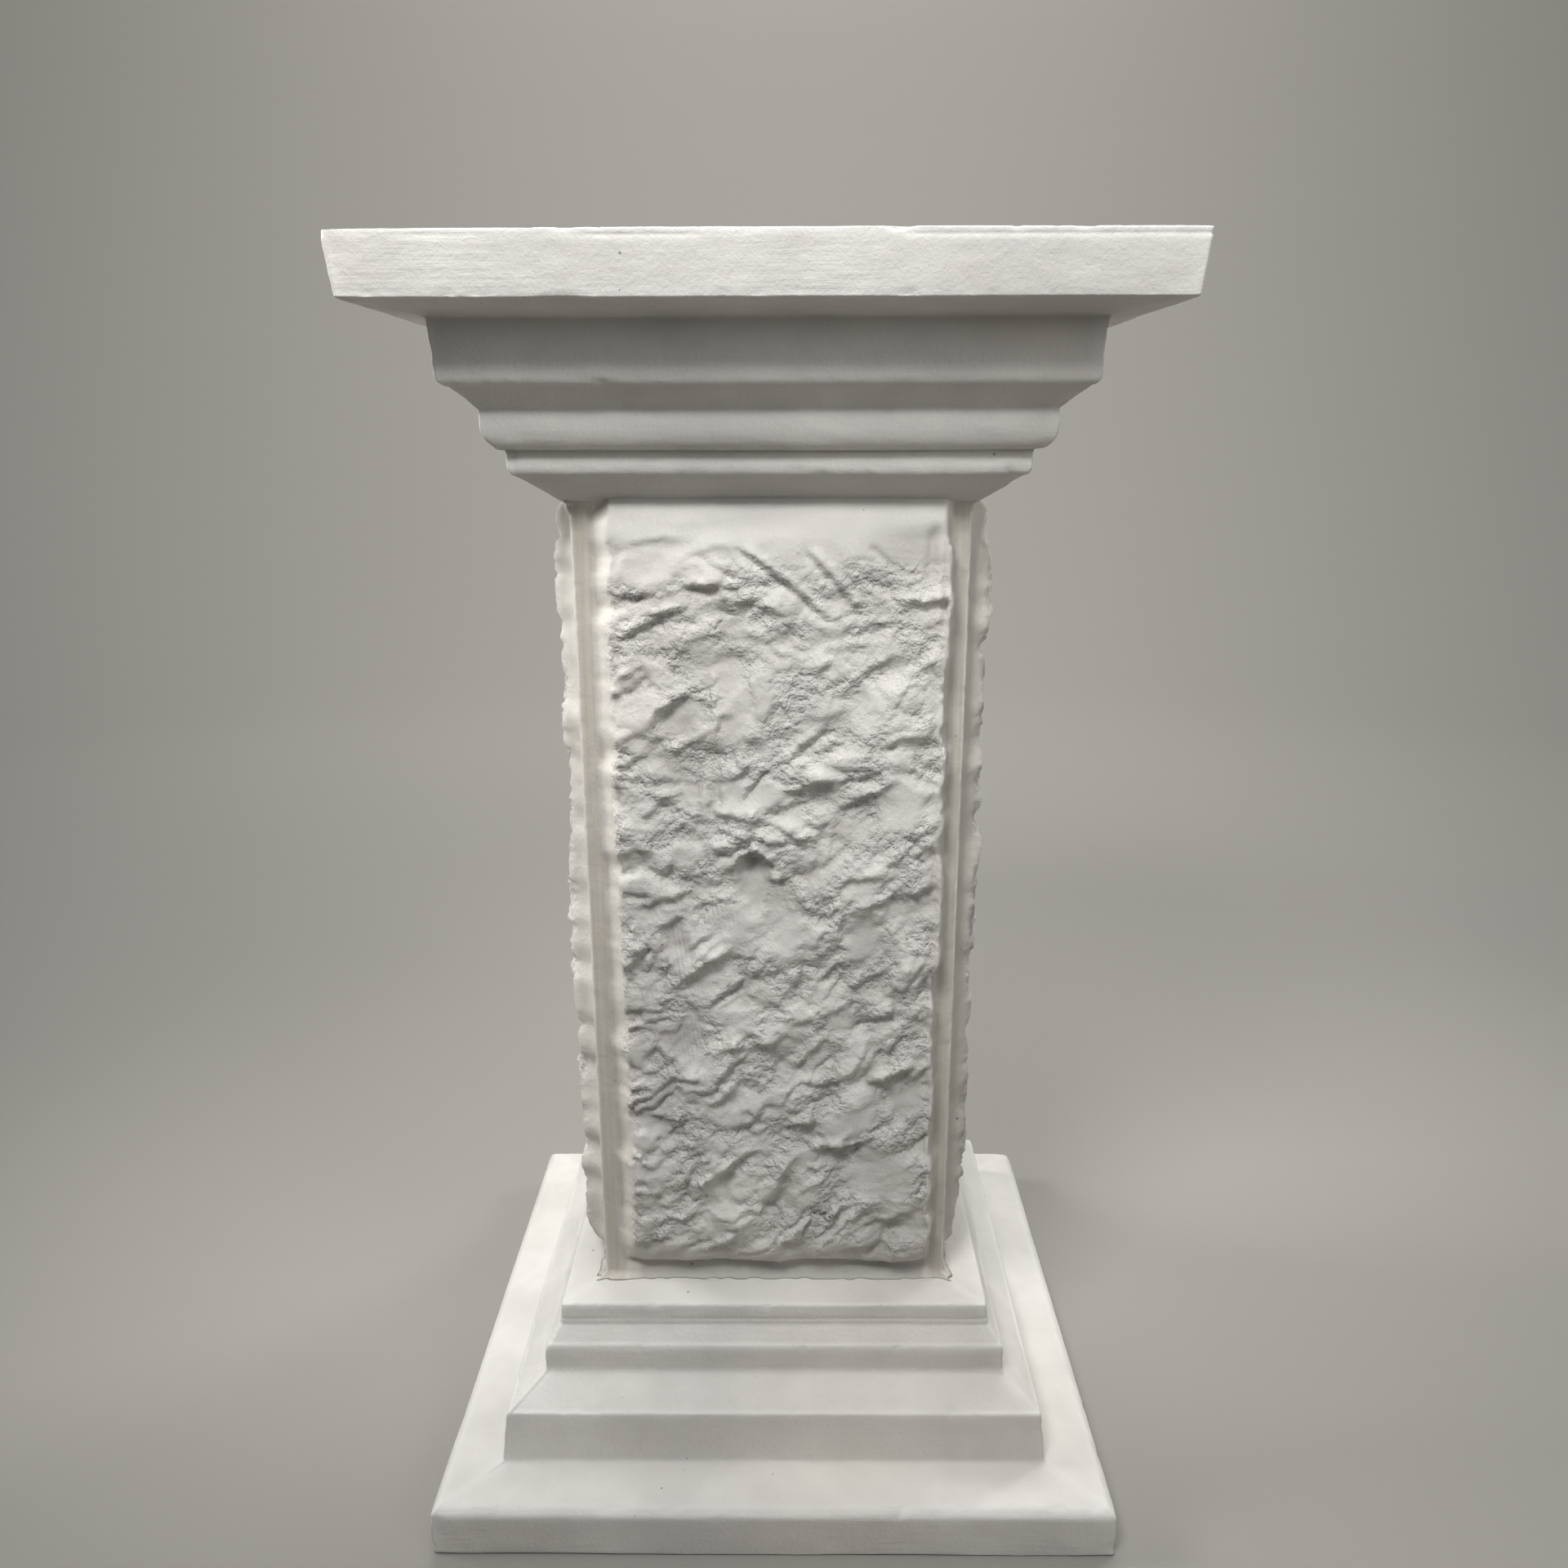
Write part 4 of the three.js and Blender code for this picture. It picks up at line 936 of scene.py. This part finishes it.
# Lamps: name, place, the point that each faces, size, spread in degrees, power.
LAMPS = [
    ("key_light", (-0.45, -1.15, 1.9), (0, 0, 0.84), 0.5, 74, 4.4),
    ("fill_light", (1.0, -1.2, 1.3), (0, 0, 0.8), 0.6, 90, 1.7),
    ("top_light", (0.1, -0.75, 2.6), (0, 0, 0.4), 1.6, 180, 13),
    ("side_light", (-1.8, 0.1, 1.3), (0, 0, 0.75), 0.6, 80, 4.6),
    ("rim_light", (1.8, 1.2, 1.35), (0, 0, 0.65), 0.6, 80, 4.2),
    ("back_light", (0, 2.4, 4.0), (0, 4.6, 0.6), 3.0, 180, 200),
    ("front_wall_light", (0, -2.6, 4.2), (0, -5.0, 0.8), 3.0, 180, 30),
]
SURROUND = (0.66, 0.66, 0.67, 1)
SURROUND_STRENGTH = 0.02
CONTRAST = 1.25
bpy.context.scene.view_settings.view_transform = "Standard"
bpy.context.scene.view_settings.gamma = 1 / CONTRAST


def studio_sweep(segments=96, arc_steps=14):
    """A dish: a flat round floor, then a quarter round up into an upright wall, turned about the upright axis."""
    turn = np.linspace(0, np.pi / 2, arc_steps)
    reach = np.concatenate(([0.8, FLOOR_FLAT * 0.6], FLOOR_FLAT + WALL_RADIUS * np.sin(turn),
                            [FLOOR_FLAT + WALL_RADIUS]))
    height = np.concatenate(([0, 0], WALL_RADIUS * (1 - np.cos(turn)), [WALL_HEAD]))
    round_turn = np.linspace(0, 2 * np.pi, segments, endpoint=False)
    grid = np.stack((reach[:, None] * np.cos(round_turn), reach[:, None] * np.sin(round_turn),
                     height[:, None] + 0 * round_turn), -1)
    quads = ring_faces(len(reach), segments)[:, ::-1]
    mesh = bpy.data.meshes.new("floor")
    mesh.from_pydata(grid.reshape(-1, 3), [], quads.tolist() + [list(range(segments))])
    mesh.shade_smooth()
    return mesh


floor_mesh = studio_sweep()
floor = bpy.data.objects.new("floor", floor_mesh)
bpy.context.scene.collection.objects.link(floor)
floor_paint = bpy.data.materials.new("floor_paint")
floor_paint.use_nodes = True
for label, value in (("Base Color", FLOOR_PALE), ("Roughness", 0.9), ("Specular IOR Level", 0)):
    floor_paint.node_tree.nodes["Principled BSDF"].inputs[label].default_value = value
floor_mesh.materials.append(floor_paint)


def soft_light(name, place, aim, size, spread, power):
    """A square lamp at a place, facing a point; its light fades to none at half the spread from its axis."""
    lamp = bpy.data.lights.new(name, "AREA")
    lamp.size = size
    lamp.spread = np.radians(spread)
    lamp.energy = power
    holder = bpy.data.objects.new(name, lamp)
    holder.visible_camera = False
    bpy.context.scene.collection.objects.link(holder)
    away = Matrix.Translation(place).to_translation() - Matrix.Translation(aim).to_translation()
    holder.matrix_world = Matrix.Translation(place) @ away.to_track_quat("Z", "Y").to_matrix().to_4x4()


for lamp_values in LAMPS:
    soft_light(*lamp_values)
world = bpy.data.worlds.new("surround")
bpy.context.scene.world = world
world.use_nodes = True
world.node_tree.nodes["Background"].inputs["Color"].default_value = SURROUND
world.node_tree.nodes["Background"].inputs["Strength"].default_value = SURROUND_STRENGTH
